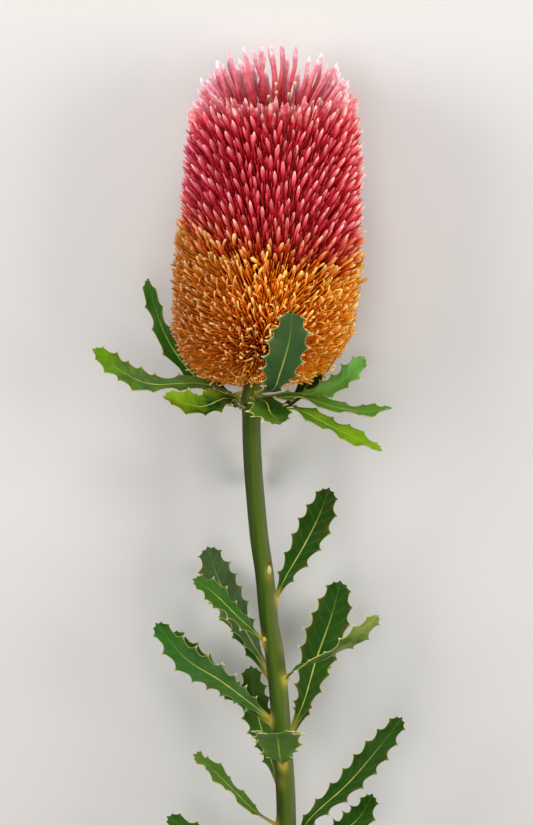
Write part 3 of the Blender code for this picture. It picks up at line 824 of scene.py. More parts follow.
def make_core():
    material, tree, shader = new_material("axis felt")
    grain = grain_node(tree, FELT_GRAIN)
    ramp = ramp_node(tree, OPEN_FELT)
    tree.links.new(grain.outputs["Mottle"], ramp.inputs["Fac"])
    felt = mix_node(tree, value_node(tree, "between_buds"), ramp.outputs["Color"], BUD_FELT_PAINTED_SHADE)
    tree.links.new(felt, shader.inputs["Base Color"])
    tree.links.new(bump_node(tree, grain.outputs["Height"], 0.8, 0.001), shader.inputs["Normal"])
    shader.inputs["Roughness"].default_value = 0.95
    middle = 0.5 * (CORE_FOOT + CORE_TOP)
    share = np.sin(np.linspace(-0.5 * math.pi, 0.5 * math.pi, CORE_RINGS))
    up = middle + (CORE_TOP - middle) * share
    radius = CORE_RADIUS * (1.0 - np.abs(share) ** CORE_ROUNDNESS) ** (1.0 / CORE_ROUNDNESS)
    radius = np.maximum(radius, CORE_END_RADIUS)
    lines = head_axis(up)[None, :, :]
    points, faces = swept(lines, radius[None, :], np.array(((0.0, 0.0, 1.0),)), CORE_SIDES)
    share = np.clip((up - BORDER_AT_TIPS) / FELT_CHANGE + 1.0, 0.0, 1.0)
    values = {"between_buds": [*np.repeat(share, CORE_SIDES), share[0], share[-1]]}
    new_piece("head_axis_felt", points, faces, values, material)


make_core()

# Stem
# One green woody stem, bare of hairs, with painted light and shade: dark on its left side
# and pale grey-green on its right. It swells a little under each leaf, and its lower end is cut across.
STEM_LINE = np.array((
    (8.2, -256.0, 34.7),
    (7.7, -233.4, 34.9),
    (7.3, -218.8, 35.2),
    (5.8, -195.9, 35.7),
    (4.2, -175.1, 36.1),
    (2.5, -160.6, 36.4),
    (0.4, -148.1, 36.6),
    (-1.4, -129.4, 36.9),
    (-3.5, -114.8, 37.1),
    (-5.1, -98.2, 37.3),
    (-6.4, -81.5, 37.4),
    (-6.9, -64.9, 37.5),
    (-6.6, -54.0, 37.5),
    (-6.0, -47.8, 37.5),
))
STEM_FOOT_RADIUS = 4.1
STEM_TOP_RADIUS = 3.8
STEM_RINGS = 420
STEM_SIDES = 36
FOOT_SWELL = 0.9
FOOT_SWELL_LENGTH = 3.2
FOOT_SWELL_TURN = 0.42
SCARS = ((-129.0, 64.0, 0.30), (-160.0, 30.0, 0.20), (-216.0, 110.0, 0.20))
SCAR_COLOUR = (0.60, 0.46, 0.06)
SCAR_STRENGTH = 0.9
COLLAR_FROM = -70.0
COLLAR_SCAR = 0.10
LAST_SHARE = 0.999999
# The colours at the foot and at the tip of the leaves that keep out of sight behind the others
HIDDEN_GREENS = ((0.015, 0.068, 0.006), (0.030, 0.099, 0.006))

# Leaves, as on the fixed frame: foot height on the stem, angle of the foot round it,
# midrib points beyond the foot, way of the upper face at the foot and the tip, width,
# teeth on a side, depth of the trough, and the colours of the blade at its foot and at its tip.
# Each leaf's pair of colours also carries painted light and shade, lighter or darker by how the
# light falls on that leaf, and some are darker at the foot as painted shade by the stem.
LEAVES = {
    "leaf_collar_left_back": (
        -53.0, 225.0, ((-20, -55, 24), (-33, -44, 18), (-42, -31, 22), (-47, -18, 26), (-50, -7, 30)),
        (-0.5, 0.1, 0.75), (-0.75, 0.0, 0.65), 12.0, 6, 0.6, (0.016, 0.080, 0.003), (0.028, 0.110, 0.005),
    ),
    "leaf_collar_left": (
        -57.0, 180.0, ((-27, -50, 37), (-49, -50, 37), (-62, -44, 38), (-72, -36, 40)),
        (0.1, 0.75, 0.7), (0.0, 0.75, 0.7), 14.0, 7, 0.8, (0.060, 0.120, 0.032), (0.140, 0.330, 0.006),
    ),
    "leaf_collar_left_front": (
        -60.0, 140.0, ((-17, -56, 50), (-28, -59.5, 57), (-42, -55.5, 61)),
        (0.3, 0.95, 0.55), (0.2, 0.7, 0.8), 15.0, 6, 1.6, (0.005, 0.045, 0.004), (0.170, 0.310, 0.004),
    ),
    "leaf_collar_front": (
        -53.5, 70.0, ((2, -52, 66), (5, -45, 77), (8.5, -33, 84), (10, -22, 89.5)),
        (0.0, 1.0, -0.3), (0.0, 0.7, -0.7), 17.5, 7, 0.8, (0.034, 0.094, 0.024), (0.050, 0.116, 0.032),
    ),
    "leaf_collar_low_front": (
        -55.5, 105.0, ((-1, -57.5, 55), (1, -62, 66), (4.5, -66, 75.5)),
        (0.0, 1.0, 0.2), (0.0, 1.0, 0.4), 18.0, 5, 0.8, (0.008, 0.070, 0.005), (0.080, 0.170, 0.016),
    ),
    "leaf_collar_right": (
        -56.0, 15.0, ((12, -55, 42), (29, -60, 45), (42, -61.5, 47), (50, -60, 48)),
        (0.0, 0.93, 0.4), (0.0, 0.93, 0.4), 13.0, 6, 0.6, (0.062, 0.190, 0.016), (0.085, 0.240, 0.014),
    ),
    "leaf_collar_right_low": (
        -62.5, 35.0, ((10, -60, 47), (23, -66, 51), (35, -72, 53), (46, -77, 54)),
        (0.2, 0.85, 0.55), (0.3, 0.8, 0.55), 13.0, 6, 0.6, (0.065, 0.180, 0.006), (0.210, 0.380, 0.004),
    ),
    "leaf_collar_right_back": (
        -55.0, 330.0, ((9, -55, 33), (23, -53, 28), (33, -47, 24), (40, -39, 22)),
        (0.25, 0.85, 0.45), (0.3, 0.8, 0.5), 11.5, 6, 0.6, (0.110, 0.370, 0.040), (0.200, 0.540, 0.110),
    ),
    "leaf_collar_under_left": (
        -54.5, 240.0, ((-14, -59, 24), (-24, -48, 11), (-29, -34, 5), (-31, -19, 4)),
        (0.5, 0.3, 0.8), (0.6, 0.0, 0.8), 13.0, 6, 0.6, *HIDDEN_GREENS,
    ),
    "leaf_collar_under_right": (
        -57.0, 300.0, ((6, -60, 24), (17, -50, 11), (24, -36, 5), (27, -21, 4)),
        (-0.5, 0.3, 0.8), (-0.6, 0.0, 0.8), 13.0, 6, 0.6, *HIDDEN_GREENS,
    ),
    "leaf_collar_under": (
        -61.0, 270.0, ((-7, -66, 24), (-7, -76, 13), (-6, -92, 5)),
        (1.0, 0.0, 0.0), (1.0, 0.0, 0.1), 11.0, 5, 0.5, *HIDDEN_GREENS,
    ),
    "leaf_stem_right_high": (
        -140.0, 10.0, ((7.5, -130, 40), (15, -117, 42), (21, -105, 44), (25, -94, 45)),
        (-0.3, -0.1, 1.0), (0.2, 0.0, 1.0), 15.0, 6, 0.6, (0.015, 0.074, 0.002), (0.014, 0.042, 0.002),
    ),
    "leaf_stem_left_back": (
        -170.0, 205.0, ((-7, -157, 31), (-15, -143, 28), (-21, -131, 26), (-25, -119, 24)),
        (0.2, 0.0, 1.0), (0.1, 0.0, 1.0), 16.0, 7, 0.8, (0.060, 0.115, 0.040), (0.058, 0.120, 0.034),
    ),
    "leaf_stem_left_front": (
        -157.0, 165.0, ((-12, -147, 45), (-22, -137, 49), (-30, -131, 52)),
        (0.4, 0.5, 0.75), (0.4, 0.5, 0.75), 12.5, 5, 0.5, (0.028, 0.120, 0.010), (0.048, 0.140, 0.012),
    ),
    "leaf_stem_right_broad": (
        -196.0, 350.0, ((15, -182, 36), (20, -165, 35), (26, -148, 34), (30, -133, 34)),
        (0.0, 0.0, 1.0), (0.15, 0.0, 1.0), 18.0, 8, 0.8, (0.022, 0.078, 0.004), (0.014, 0.064, 0.004),
    ),
    "leaf_stem_right_twisted": (
        -173.0, 45.0, ((12, -168, 43), (24, -163, 47), (36, -155, 51), (45, -146, 55)),
        (-0.4, 0.9, 0.35), (0.35, 0.6, -0.7), 9.5, 6, 0.5, (0.012, 0.080, 0.004), (0.420, 0.520, 0.090),
    ),
    "leaf_stem_left_mid": (
        -190.0, 165.0, ((-8, -182, 40), (-20, -173, 41), (-34, -164, 42), (-46, -150, 42)),
        (0.2, 0.1, 1.0), (-0.1, 0.1, 1.0), 13.0, 8, 0.8, (0.045, 0.120, 0.022), (0.022, 0.120, 0.010),
    ),
    "leaf_stem_left_behind": (
        -222.0, 240.0, ((1, -206, 29), (-3, -193, 27), (-6, -181, 25), (-7, -169, 24)),
        (0.1, 0.0, 1.0), (0.0, 0.0, 1.0), 14.0, 7, 0.6, (0.050, 0.125, 0.014), (0.045, 0.120, 0.010),
    ),
    "leaf_stem_front": (
        -208.0, 95.0, ((5, -204, 50), (4, -195.5, 63), (3.5, -192.5, 79)),
        (0.0, 1.0, -0.2), (0.0, 1.0, -0.3), 21.0, 6, 1.2, (0.150, 0.350, 0.020), (0.110, 0.260, 0.016),
    ),
    "leaf_stem_left_low": (
        -234.0, 165.0, ((-6, -227, 40), (-16, -217, 42), (-24, -209, 44), (-30, -204, 46)),
        (0.5, 0.7, 0.45), (0.5, 0.7, 0.45), 13.0, 6, 0.5, (0.060, 0.140, 0.016), (0.100, 0.190, 0.020),
    ),
    "leaf_stem_right_low": (
        -241.0, 20.0, ((18, -230, 40), (33, -216, 42), (45, -202, 43), (55, -189, 44)),
        (-0.2, 0.2, 1.0), (0.1, 0.1, 1.0), 12.5, 8, 0.6, (0.017, 0.070, 0.003), (0.020, 0.070, 0.004),
    ),
    "leaf_foot_right": (
        -250.0, 330.0, ((20, -243, 35), (30, -237, 37), (38, -230, 39), (43, -221, 42)),
        (0.0, 0.2, 1.0), (0.3, 0.2, 0.9), 13.0, 6, 0.6, (0.022, 0.090, 0.004), (0.016, 0.070, 0.003),
    ),
    "leaf_foot_left": (
        -248.0, 190.0, ((-5, -246, 37), (-16, -243, 39), (-29, -238, 41), (-41, -230, 42)),
        (0.0, 0.3, 1.0), (0.0, 0.3, 1.0), 12.0, 6, 0.6, (0.020, 0.090, 0.006), (0.025, 0.099, 0.009),
    ),
    "leaf_under_right": (
        -200.0, 315.0, ((14, -187, 26), (20, -169, 18), (25, -154, 12), (28, -141, 9)),
        (0.1, -0.3, 1.0), (0.1, 0.0, 1.0), 13.0, 6, 0.6, *HIDDEN_GREENS,
    ),
    "leaf_under_left": (
        -176.0, 235.0, ((-6, -162, 23), (-14, -148, 15), (-19, -136, 9), (-23, -125, 6)),
        (0.0, -0.3, 1.0), (0.0, 0.0, 1.0), 13.0, 6, 0.6, *HIDDEN_GREENS,
    ),
    "leaf_under_mid": (
        -193.0, 215.0, ((-8, -184, 30), (-20, -174, 22), (-31, -165, 16), (-40, -155, 13)),
        (0.0, -0.2, 1.0), (0.0, 0.0, 1.0), 12.0, 6, 0.6, *HIDDEN_GREENS,
    ),
}


def smooth_points(points, at):
    """Points of a smooth curve through the given ones, at shares of its length."""
    ends = np.concatenate((2 * points[:1] - points[1:2], points, 2 * points[-1:] - points[-2:-1]))
    place = np.minimum(at, LAST_SHARE) * (len(points) - 1)
    i = place.astype(int)
    t = (place - i)[:, None]
    a, b, c, d = ends[i], ends[i + 1], ends[i + 2], ends[i + 3]
    bend = 2 * a - 5 * b + 4 * c - d
    twist = 3 * b - a - 3 * c + d
    return 0.5 * (2 * b + (c - a) * t + bend * t**2 + twist * t**3)


def stem_centre(y):
    return np.array([np.interp(y, STEM_LINE[:, 1], STEM_LINE[:, 0]), y,
                     np.interp(y, STEM_LINE[:, 1], STEM_LINE[:, 2])])


def stem_radius(y):
    return np.interp(y, STEM_LINE[[0, -1], 1], (STEM_FOOT_RADIUS, STEM_TOP_RADIUS))


# Painted light and shade across the stem: the ramp runs from its shaded left side to its lit right side
BARK_SHADE_TO_LIGHT_STOPS = (
    (0.0, (0.020, 0.034, 0.002)),
    (0.30, (0.036, 0.072, 0.002)),
    (0.50, (0.070, 0.132, 0.006)),
    (0.70, (0.082, 0.124, 0.012)),
    (0.86, (0.110, 0.145, 0.034)),
    (1.0, (0.130, 0.150, 0.060)),
)
BARK_STREAKS = (420.0, 22.0, 420.0)
BARK_WANDER = 0.5
PITH_STOPS = ((0.35, (0.42, 0.40, 0.20)), (0.65, (0.62, 0.58, 0.36)))
PITH_GRAIN = 900.0


def bark_material():
    material, tree, shader = new_material("stem bark")
    bark = ramp_node(tree, BARK_SHADE_TO_LIGHT_STOPS)
    place = tree.nodes.new("ShaderNodeTexCoord").outputs["Object"]
    stretch = tree.nodes.new("ShaderNodeMapping")
    stretch.inputs["Scale"].default_value = BARK_STREAKS
    tree.links.new(place, stretch.inputs["Vector"])
    streaks = noise_node(tree, stretch.outputs["Vector"], 1.0, 4.0)
    wander = math_node(tree, "SUBTRACT", streaks, 0.5)
    wander = math_node(tree, "MULTIPLY_ADD", wander, BARK_WANDER, value_node(tree, "round"))
    tree.links.new(wander, bark.inputs["Fac"])
    scarred = mix_node(tree, value_node(tree, "scar"), bark.outputs["Color"], SCAR_COLOUR)
    pith = ramp_node(tree, PITH_STOPS)
    tree.links.new(noise_node(tree, place, PITH_GRAIN, 2.0), pith.inputs["Fac"])
    colour = mix_node(tree, value_node(tree, "cut"), scarred, pith.outputs["Color"])
    tree.links.new(colour, shader.inputs["Base Color"])
    tree.links.new(bump_node(tree, streaks, 0.35, 0.0004), shader.inputs["Normal"])
    shader.inputs["Roughness"].default_value = 0.5
    shader.inputs["Specular IOR Level"].default_value = 0.12
    shader.inputs["Subsurface Weight"].default_value = 0.08
    shader.inputs["Subsurface Scale"].default_value = 0.002
    return material


def make_stem():
    centre = smooth_points(STEM_LINE, np.linspace(0.0, 1.0, STEM_RINGS))
    turn = np.linspace(0.0, math.tau, STEM_SIDES, endpoint=False)
    along, around = np.meshgrid(centre[:, 1], turn, indexing="ij")
    radius = stem_radius(along)
    scar = np.zeros_like(radius)
    marks = [(leaf[0], leaf[1], FOOT_SWELL) for leaf in LEAVES.values()]
    marks += SCARS
    for y, angle, swell in marks:
        off = np.angle(np.exp(1j * (around - math.radians(angle))))
        near = np.exp(-((along - y) / FOOT_SWELL_LENGTH) ** 2 - (off / FOOT_SWELL_TURN) ** 2)
        radius = radius + swell * near
        shown = COLLAR_SCAR if y > COLLAR_FROM else min(swell / FOOT_SWELL, 1.0)
        scar = np.maximum(scar, near * shown)
    rings = centre[:, None, :] + radius[..., None] * outward(around)
    points = [*rings.reshape(-1, 3), centre[0], centre[-1]]
    faces = []
    for i in range(STEM_RINGS - 1):
        for j in range(STEM_SIDES):
            k = (j + 1) % STEM_SIDES
            faces.append((i * STEM_SIDES + j, (i + 1) * STEM_SIDES + j,
                          (i + 1) * STEM_SIDES + k, i * STEM_SIDES + k))
    last = (STEM_RINGS - 1) * STEM_SIDES
    for j in range(STEM_SIDES):
        k = (j + 1) % STEM_SIDES
        faces.append((len(points) - 2, j, k))
        faces.append((len(points) - 1, last + k, last + j))
    # round: 1 on the stem's lit right side and 0 on its shaded left, for the painted light and shade
    across = 0.5 - 0.5 * np.cos(around)
    cut = np.zeros(len(points))
    cut[-2] = 1.0
    values = {
        "round": [*(1.0 - across).ravel(), 0.5, 0.5],
        "scar": [*np.clip(scar * SCAR_STRENGTH, 0.0, 1.0).ravel(), 0.0, 0.0],
        "cut": cut,
    }
    new_piece("stem_bark", np.array(points), faces, values, bark_material(), ["stem"])


make_stem()

# Buds on the stem
# One old leaf has dropped: its scar is a brown crescent on the bark, with a small cream bud
# in its axil. Two other axils hold a cluster of small yellow buds.
BUD_Y = -129.5
BUD_TURN = 1.08
BUD_AT_STATIONS = (0.0, 0.2, 0.5, 0.8, 1.0)
BUD_WIDTHS = (0.25, 0.75, 0.95, 0.65, 0.15)
BUD_REACH = 4.2
BUD_BELLY = 0.2
BUD_ROUND_SIDES = 12
BUD_COLOUR = (0.55, 0.50, 0.20)
CRESCENT_WIDTH = 2.0
CRESCENT_RISE = 0.7
CRESCENT_SINK = 0.1
CRESCENT_WRAP = 0.12
CRESCENT_THICKNESS = 0.32
CRESCENT_END = 0.4
CRESCENT_STATIONS = 13
CRESCENT_SIDES = 8
CRESCENT_COLOUR = (0.20, 0.085, 0.02)
AXIL_BUDS = ((-157.2, 2.85), (-173.2, 0.40))
AXIL_REACH = 3.6
AXIL_SIDE_SHORTER = 0.8
AXIL_UP = 0.8
AXIL_OUT = 0.55
AXIL_ASIDE = 0.5
AXIL_SINK = 0.8
AXIL_GAP = 0.9
AXIL_STOUTNESS = 1.15
AXIL_COLOUR = (0.60, 0.44, 0.08)
BUD_GRAIN = 700.0


def plain_skin(name, colour):
    material, tree, shader = new_material(name)
    grain = grain_node(tree, BUD_GRAIN)
    shade = math_node(tree, "MULTIPLY_ADD", grain.outputs["Mottle"], 0.9, 0.55)
    bright = tree.nodes.new("ShaderNodeHueSaturation")
    bright.inputs["Color"].default_value = (*colour, 1.0)
    tree.links.new(shade, bright.inputs["Value"])
    tree.links.new(bright.outputs["Color"], shader.inputs["Base Color"])
    tree.links.new(bump_node(tree, grain.outputs["Height"], 0.5, 0.0002), shader.inputs["Normal"])
    shader.inputs["Roughness"].default_value = 0.6
    shader.inputs["Specular IOR Level"].default_value = 0.15
    return material


def bud_seat(y, turn):
    """The way out from the stem, the way across it, and the place on its bark."""
    out = outward(np.array(turn))
    return out, np.cross(out, STRAIGHT_UP), stem_centre(y) + stem_radius(y) * out


def make_stem_bud():
    out, side, base = bud_seat(BUD_Y, BUD_TURN)
    share = np.array(BUD_AT_STATIONS)[:, None]
    line = base + share * BUD_REACH * STRAIGHT_UP + BUD_BELLY * np.sin(math.pi * share) * out
    points, faces = swept(line[None], np.array(BUD_WIDTHS)[None], side[None], BUD_ROUND_SIDES)
    new_piece("stem_bud", points, faces, {}, plain_skin("cream bud", BUD_COLOUR))
    turn = np.linspace(0.0, math.pi, CRESCENT_STATIONS)[:, None]
    top = base + BUD_REACH * STRAIGHT_UP - CRESCENT_SINK * out
    bow = 0.5 * np.cos(turn) * side + CRESCENT_RISE * np.sin(turn) * STRAIGHT_UP
    arc = top + CRESCENT_WIDTH * bow - CRESCENT_WRAP * np.cos(turn) ** 2 * out
    width = CRESCENT_THICKNESS * mixed(CRESCENT_END, 1.0, np.sin(turn[:, 0]))
    points, faces = swept(arc[None], width[None], out[None], CRESCENT_SIDES)
    new_piece("leaf_scar", points, faces, {}, plain_skin("brown scar", CRESCENT_COLOUR))


def make_axil_buds():
    lines = []
    sides = []
    share = np.array(BUD_AT_STATIONS)[:, None]
    for y, turn in AXIL_BUDS:
        out, side, base = bud_seat(y, turn)
        for tilt in (-1.0, 0.0, 1.0):
            way = unit(AXIL_UP * STRAIGHT_UP + AXIL_OUT * out + AXIL_ASIDE * tilt * side)
            root = base - AXIL_SINK * out + AXIL_GAP * tilt * side
            lines.append(root + share * (AXIL_REACH - AXIL_SIDE_SHORTER * abs(tilt)) * way)
            sides.append(side)
    radii = np.tile(AXIL_STOUTNESS * np.array(BUD_WIDTHS), (len(lines), 1))
    points, faces = swept(np.array(lines), radii, np.array(sides), BUD_ROUND_SIDES)
    new_piece("axil_buds", points, faces, {}, plain_skin("yellow bud", AXIL_COLOUR))


make_stem_bud()
make_axil_buds()

# Leaves
# Stiff leathery blades, wedge-shaped at the foot and blunt at the tip. The edge is cut
# into sharp teeth that end in short pale spines, and a pale midrib runs to the tip.
LEAF_FOOT_WIDTH = 1.7
LEAF_FOOT_SINK = 0.6
LEAF_WIDEST_AT = 0.68
LEAF_WEDGE = 1.4
LEAF_TIP_NARROWING = 0.52
FIRST_TOOTH_AT = 0.16
TOOTH_FORWARD = 0.66
TOOTH_DEPTH = 1.8
TOOTH_SHARE_LIMIT = 0.34
TOOTH_HOLLOW = 1.9
SPINE_LENGTH = 1.15
SPINE_FROM = 0.86
SPINE_BAND = 0.14
SPINE_FINENESS = 24
TIP_SPINE_LENGTH = 1.2
TIP_SPINE_WIDTH = 0.22
TIP_POINTEDNESS = 0.6
STATIONS_PER_TOOTH = 9
STATIONS_BEHIND_TOOTH = 4
FOOT_STATIONS = 12
ACROSS = 17
ACROSS_CROWDING = 0.9
EDGE_POWER = 8
BLADE_THICKNESS = 0.5
MARGIN_THICKNESS = 0.28
PETIOLE_THICKNESS = 1.5
PETIOLE_SHARE = 0.14
PETIOLE_FADE = 1.5
PETIOLE_FLATTENING = 0.8
RIB_HEIGHT = 0.45
RIB_GROOVE = 0.10
RIB_SPREAD = 0.55
RIB_LOWERING = 0.7
EDGE_WAVE = 0.8
WAVE_RISE = 4
VEINS = 11.0
VEIN_SWEEP = 1.3
PUCKER = 0.07
PUCKER_RISE = 5
LEAF_CLEARANCE = 0.2


def leaf_half_width(t, width):
    foot = LEAF_FOOT_WIDTH / width
    rise = np.sin(0.5 * math.pi * np.minimum(t / LEAF_WIDEST_AT, 1.0))
    rising = foot + (1.0 - foot) * rise**LEAF_WEDGE
    falling = 1.0 - LEAF_TIP_NARROWING * ((t - LEAF_WIDEST_AT) / (1.0 - LEAF_WIDEST_AT)) ** 2
    return 0.5 * width * np.where(t < LEAF_WIDEST_AT, rising, falling)


RIB_WIDTH_AT_FOOT = 0.075
RIB_NARROWING = -0.045
RIB_SHARPNESS = 2.5
RIB_FADING = (-2.4, 2.2)
RIB_RANGE = (0.15, 0.95)
VEIN_SHARPNESS = -9.0
VEIN_HEIGHT = 0.3
EDGE_RAMP = (22.0, -20.8)
RIM_POWER = 4.0


def vein_group():
    """Pattern of a leaf from its place along and across: midrib, side veins, pale edge,
    the rim that takes a tinge, and the height of all veins."""
    outputs = ("Rib", "Veins", "Edge", "Rim", "Height")
    group, given, put = new_group("leaf veins", ("Along", "Across"), outputs)
    place = given.outputs["Along"]
    side = math_node(group, "ABSOLUTE", given.outputs["Across"])
    width = math_node(group, "MULTIPLY_ADD", place, RIB_NARROWING, RIB_WIDTH_AT_FOOT)
    rib = math_node(group, "SUBTRACT", 1.0, math_node(group, "DIVIDE", side, width))
    rib = math_node(group, "MAXIMUM", rib, 0.0)
    rib = math_node(group, "MINIMUM", math_node(group, "MULTIPLY", rib, RIB_SHARPNESS), 1.0)
    fading = math_node(group, "MULTIPLY_ADD", place, *RIB_FADING)
    fading = math_node(group, "MAXIMUM", fading, RIB_RANGE[0])
    fading = math_node(group, "MINIMUM", fading, RIB_RANGE[1])
    rib = math_node(group, "MULTIPLY", rib, fading)
    step = math_node(group, "MULTIPLY", place, VEINS)
    step = math_node(group, "FRACT", math_node(group, "MULTIPLY_ADD", side, -VEIN_SWEEP, step))
    saw = math_node(group, "ABSOLUTE", math_node(group, "SUBTRACT", step, 0.5))
    vein = math_node(group, "MULTIPLY_ADD", saw, VEIN_SHARPNESS, 1.0)
    vein = math_node(group, "MAXIMUM", vein, 0.0)
    edge = math_node(group, "MULTIPLY_ADD", side, *EDGE_RAMP)
    edge = math_node(group, "MINIMUM", math_node(group, "MAXIMUM", edge, 0.0), 1.0)
    rim = math_node(group, "POWER", side, RIM_POWER)
    height = math_node(group, "ADD", rib, math_node(group, "MULTIPLY", vein, VEIN_HEIGHT))
    for key, socket in zip(outputs, (rib, vein, edge, rim, height)):
        group.links.new(socket, put.inputs[key])
    return group


VEIN_PATTERN = vein_group()
RIB_COLOUR = (0.52, 0.55, 0.10)
EDGE_COLOUR = (0.56, 0.58, 0.14)
PETIOLE_COLOUR = (0.54, 0.43, 0.06)
UNDERSIDE = (0.07, 0.14, 0.045)
SPINE_COLOUR = (0.88, 0.84, 0.52)
RIM_TINGE = (0.12, 0.068, 0.010)
LEAF_GRAIN = 130.0
LEAF_PATCHES = 2.0
TIP_SHARE_POWER = 2.2
HALF_LIGHTNESS = 0.9
TINGE_RAMP = (2.5, 0.12)
TINGE_LIMIT = 0.55
UNDERSIDE_SHARE = 0.35
VEIN_SHARE = 0.045
EDGE_SHARE = 0.85
PETIOLE_COLOUR_RAMP = (-6.0, 1.0)
BLADE_ROUGHNESS = (0.25, 0.28)
GRAIN_HEIGHT = 0.3
# Leaves with one half lit through: 1 for the half on the right of its midrib, -1 left
LIGHT_HALVES = {"leaf_collar_left_front": 0.5, "leaf_collar_low_front": 1.0}


def blade_material(name, old, young):
    material, tree, shader = new_material(name)
    veins = tree.nodes.new("ShaderNodeGroup")
    veins.node_tree = VEIN_PATTERN
    along = value_node(tree, "along")
    across = value_node(tree, "across")
    tree.links.new(along, veins.inputs["Along"])
    tree.links.new(across, veins.inputs["Across"])
    grain = grain_node(tree, LEAF_GRAIN)
    patches = math_node(tree, "SUBTRACT", grain.outputs["Mottle"], 0.5)
    patches = math_node(tree, "MULTIPLY", patches, LEAF_PATCHES)
    # Painted shade: the blade runs from old at the foot to young at the tip, and on some leaves the foot is
    # darker as shade by the stem
    share = math_node(tree, "ADD", patches, math_node(tree, "POWER", along, TIP_SHARE_POWER))
    half = math_node(tree, "MULTIPLY", across, HALF_LIGHTNESS * LIGHT_HALVES.get(name, 0.0))
    colour = mix_node(tree, math_node(tree, "ADD", share, half), old, young)
    tinge = math_node(tree, "MULTIPLY_ADD", patches, *TINGE_RAMP)
    tinge = math_node(tree, "MULTIPLY", tinge, veins.outputs["Rim"])
    colour = mix_node(tree, math_node(tree, "MINIMUM", tinge, TINGE_LIMIT), colour, RIM_TINGE)
    under = math_node(tree, "MULTIPLY", value_node(tree, "under"), UNDERSIDE_SHARE)
    colour = mix_node(tree, under, colour, UNDERSIDE)
    vein = math_node(tree, "MULTIPLY", veins.outputs["Veins"], VEIN_SHARE)
    colour = mix_node(tree, vein, colour, RIB_COLOUR)
    colour = mix_node(tree, veins.outputs["Rib"], colour, RIB_COLOUR)
    edge = math_node(tree, "MULTIPLY", veins.outputs["Edge"], EDGE_SHARE)
    colour = mix_node(tree, edge, colour, EDGE_COLOUR)
    foot = math_node(tree, "MULTIPLY_ADD", along, *PETIOLE_COLOUR_RAMP)
    colour = mix_node(tree, math_node(tree, "MAXIMUM", foot, 0.0), colour, PETIOLE_COLOUR)
    colour = mix_node(tree, value_node(tree, "spine"), colour, SPINE_COLOUR)
    tree.links.new(colour, shader.inputs["Base Color"])
    rough = math_node(tree, "MULTIPLY_ADD", grain.outputs["Mottle"], *BLADE_ROUGHNESS)
    tree.links.new(rough, shader.inputs["Roughness"])
    shader.inputs["Specular IOR Level"].default_value = 0.09
    height = math_node(tree, "MULTIPLY_ADD", grain.outputs["Height"], GRAIN_HEIGHT,
                       veins.outputs["Height"])
    tree.links.new(bump_node(tree, height, 0.5, 0.0003), shader.inputs["Normal"])
    shader.inputs["Subsurface Weight"].default_value = 0.05
    shader.inputs["Subsurface Scale"].default_value = 0.001
    return material


def leaf_stations(teeth):
    """Shares along a leaf, and at each how pointed its edge is, from 0 in a notch to 1."""
    foot = np.linspace(0.0, FIRST_TOOTH_AT, FOOT_STATIONS, endpoint=False)
    ahead = STATIONS_PER_TOOTH - STATIONS_BEHIND_TOOTH
    within = np.concatenate((
        np.linspace(0.0, TOOTH_FORWARD, ahead, endpoint=False),
        np.linspace(TOOTH_FORWARD, 1.0, STATIONS_BEHIND_TOOTH, endpoint=False),
    ))
    pitch = (1.0 - FIRST_TOOTH_AT) / teeth
    falls = (1.0 - within) / (1.0 - TOOTH_FORWARD)
    rises = np.where(within <= TOOTH_FORWARD, within / TOOTH_FORWARD, falls)
    t = [foot] + [FIRST_TOOTH_AT + (i + within) * pitch for i in range(teeth)] + [np.array((1.0,))]
    pointed = [1.0 - foot / FIRST_TOOTH_AT] + [rises] * teeth + [np.array((TIP_POINTEDNESS,))]
    return np.concatenate(t), np.concatenate(pointed)


def closed_sheet(rows, columns):
    """Faces of a thin closed sheet: an upper and a lower grid of points, joined round the rim."""
    below = rows * columns
    faces = []
    for i in range(rows - 1):
        row, beyond = i * columns, (i + 1) * columns
        for j in range(columns - 1):
            a, b, c, d = row + j, row + j + 1, beyond + j + 1, beyond + j
            faces.append((a, b, c, d))
            faces.append((below + d, below + c, below + b, below + a))
        for a, b in ((row, beyond), (beyond + columns - 1, beyond - 1)):
            faces.append((a, b, below + b, below + a))
    for j in range(columns - 1):
        faces.append((j + 1, j, below + j, below + j + 1))
        k = (rows - 1) * columns + j
        faces.append((k, k + 1, below + k + 1, below + k))
    return faces


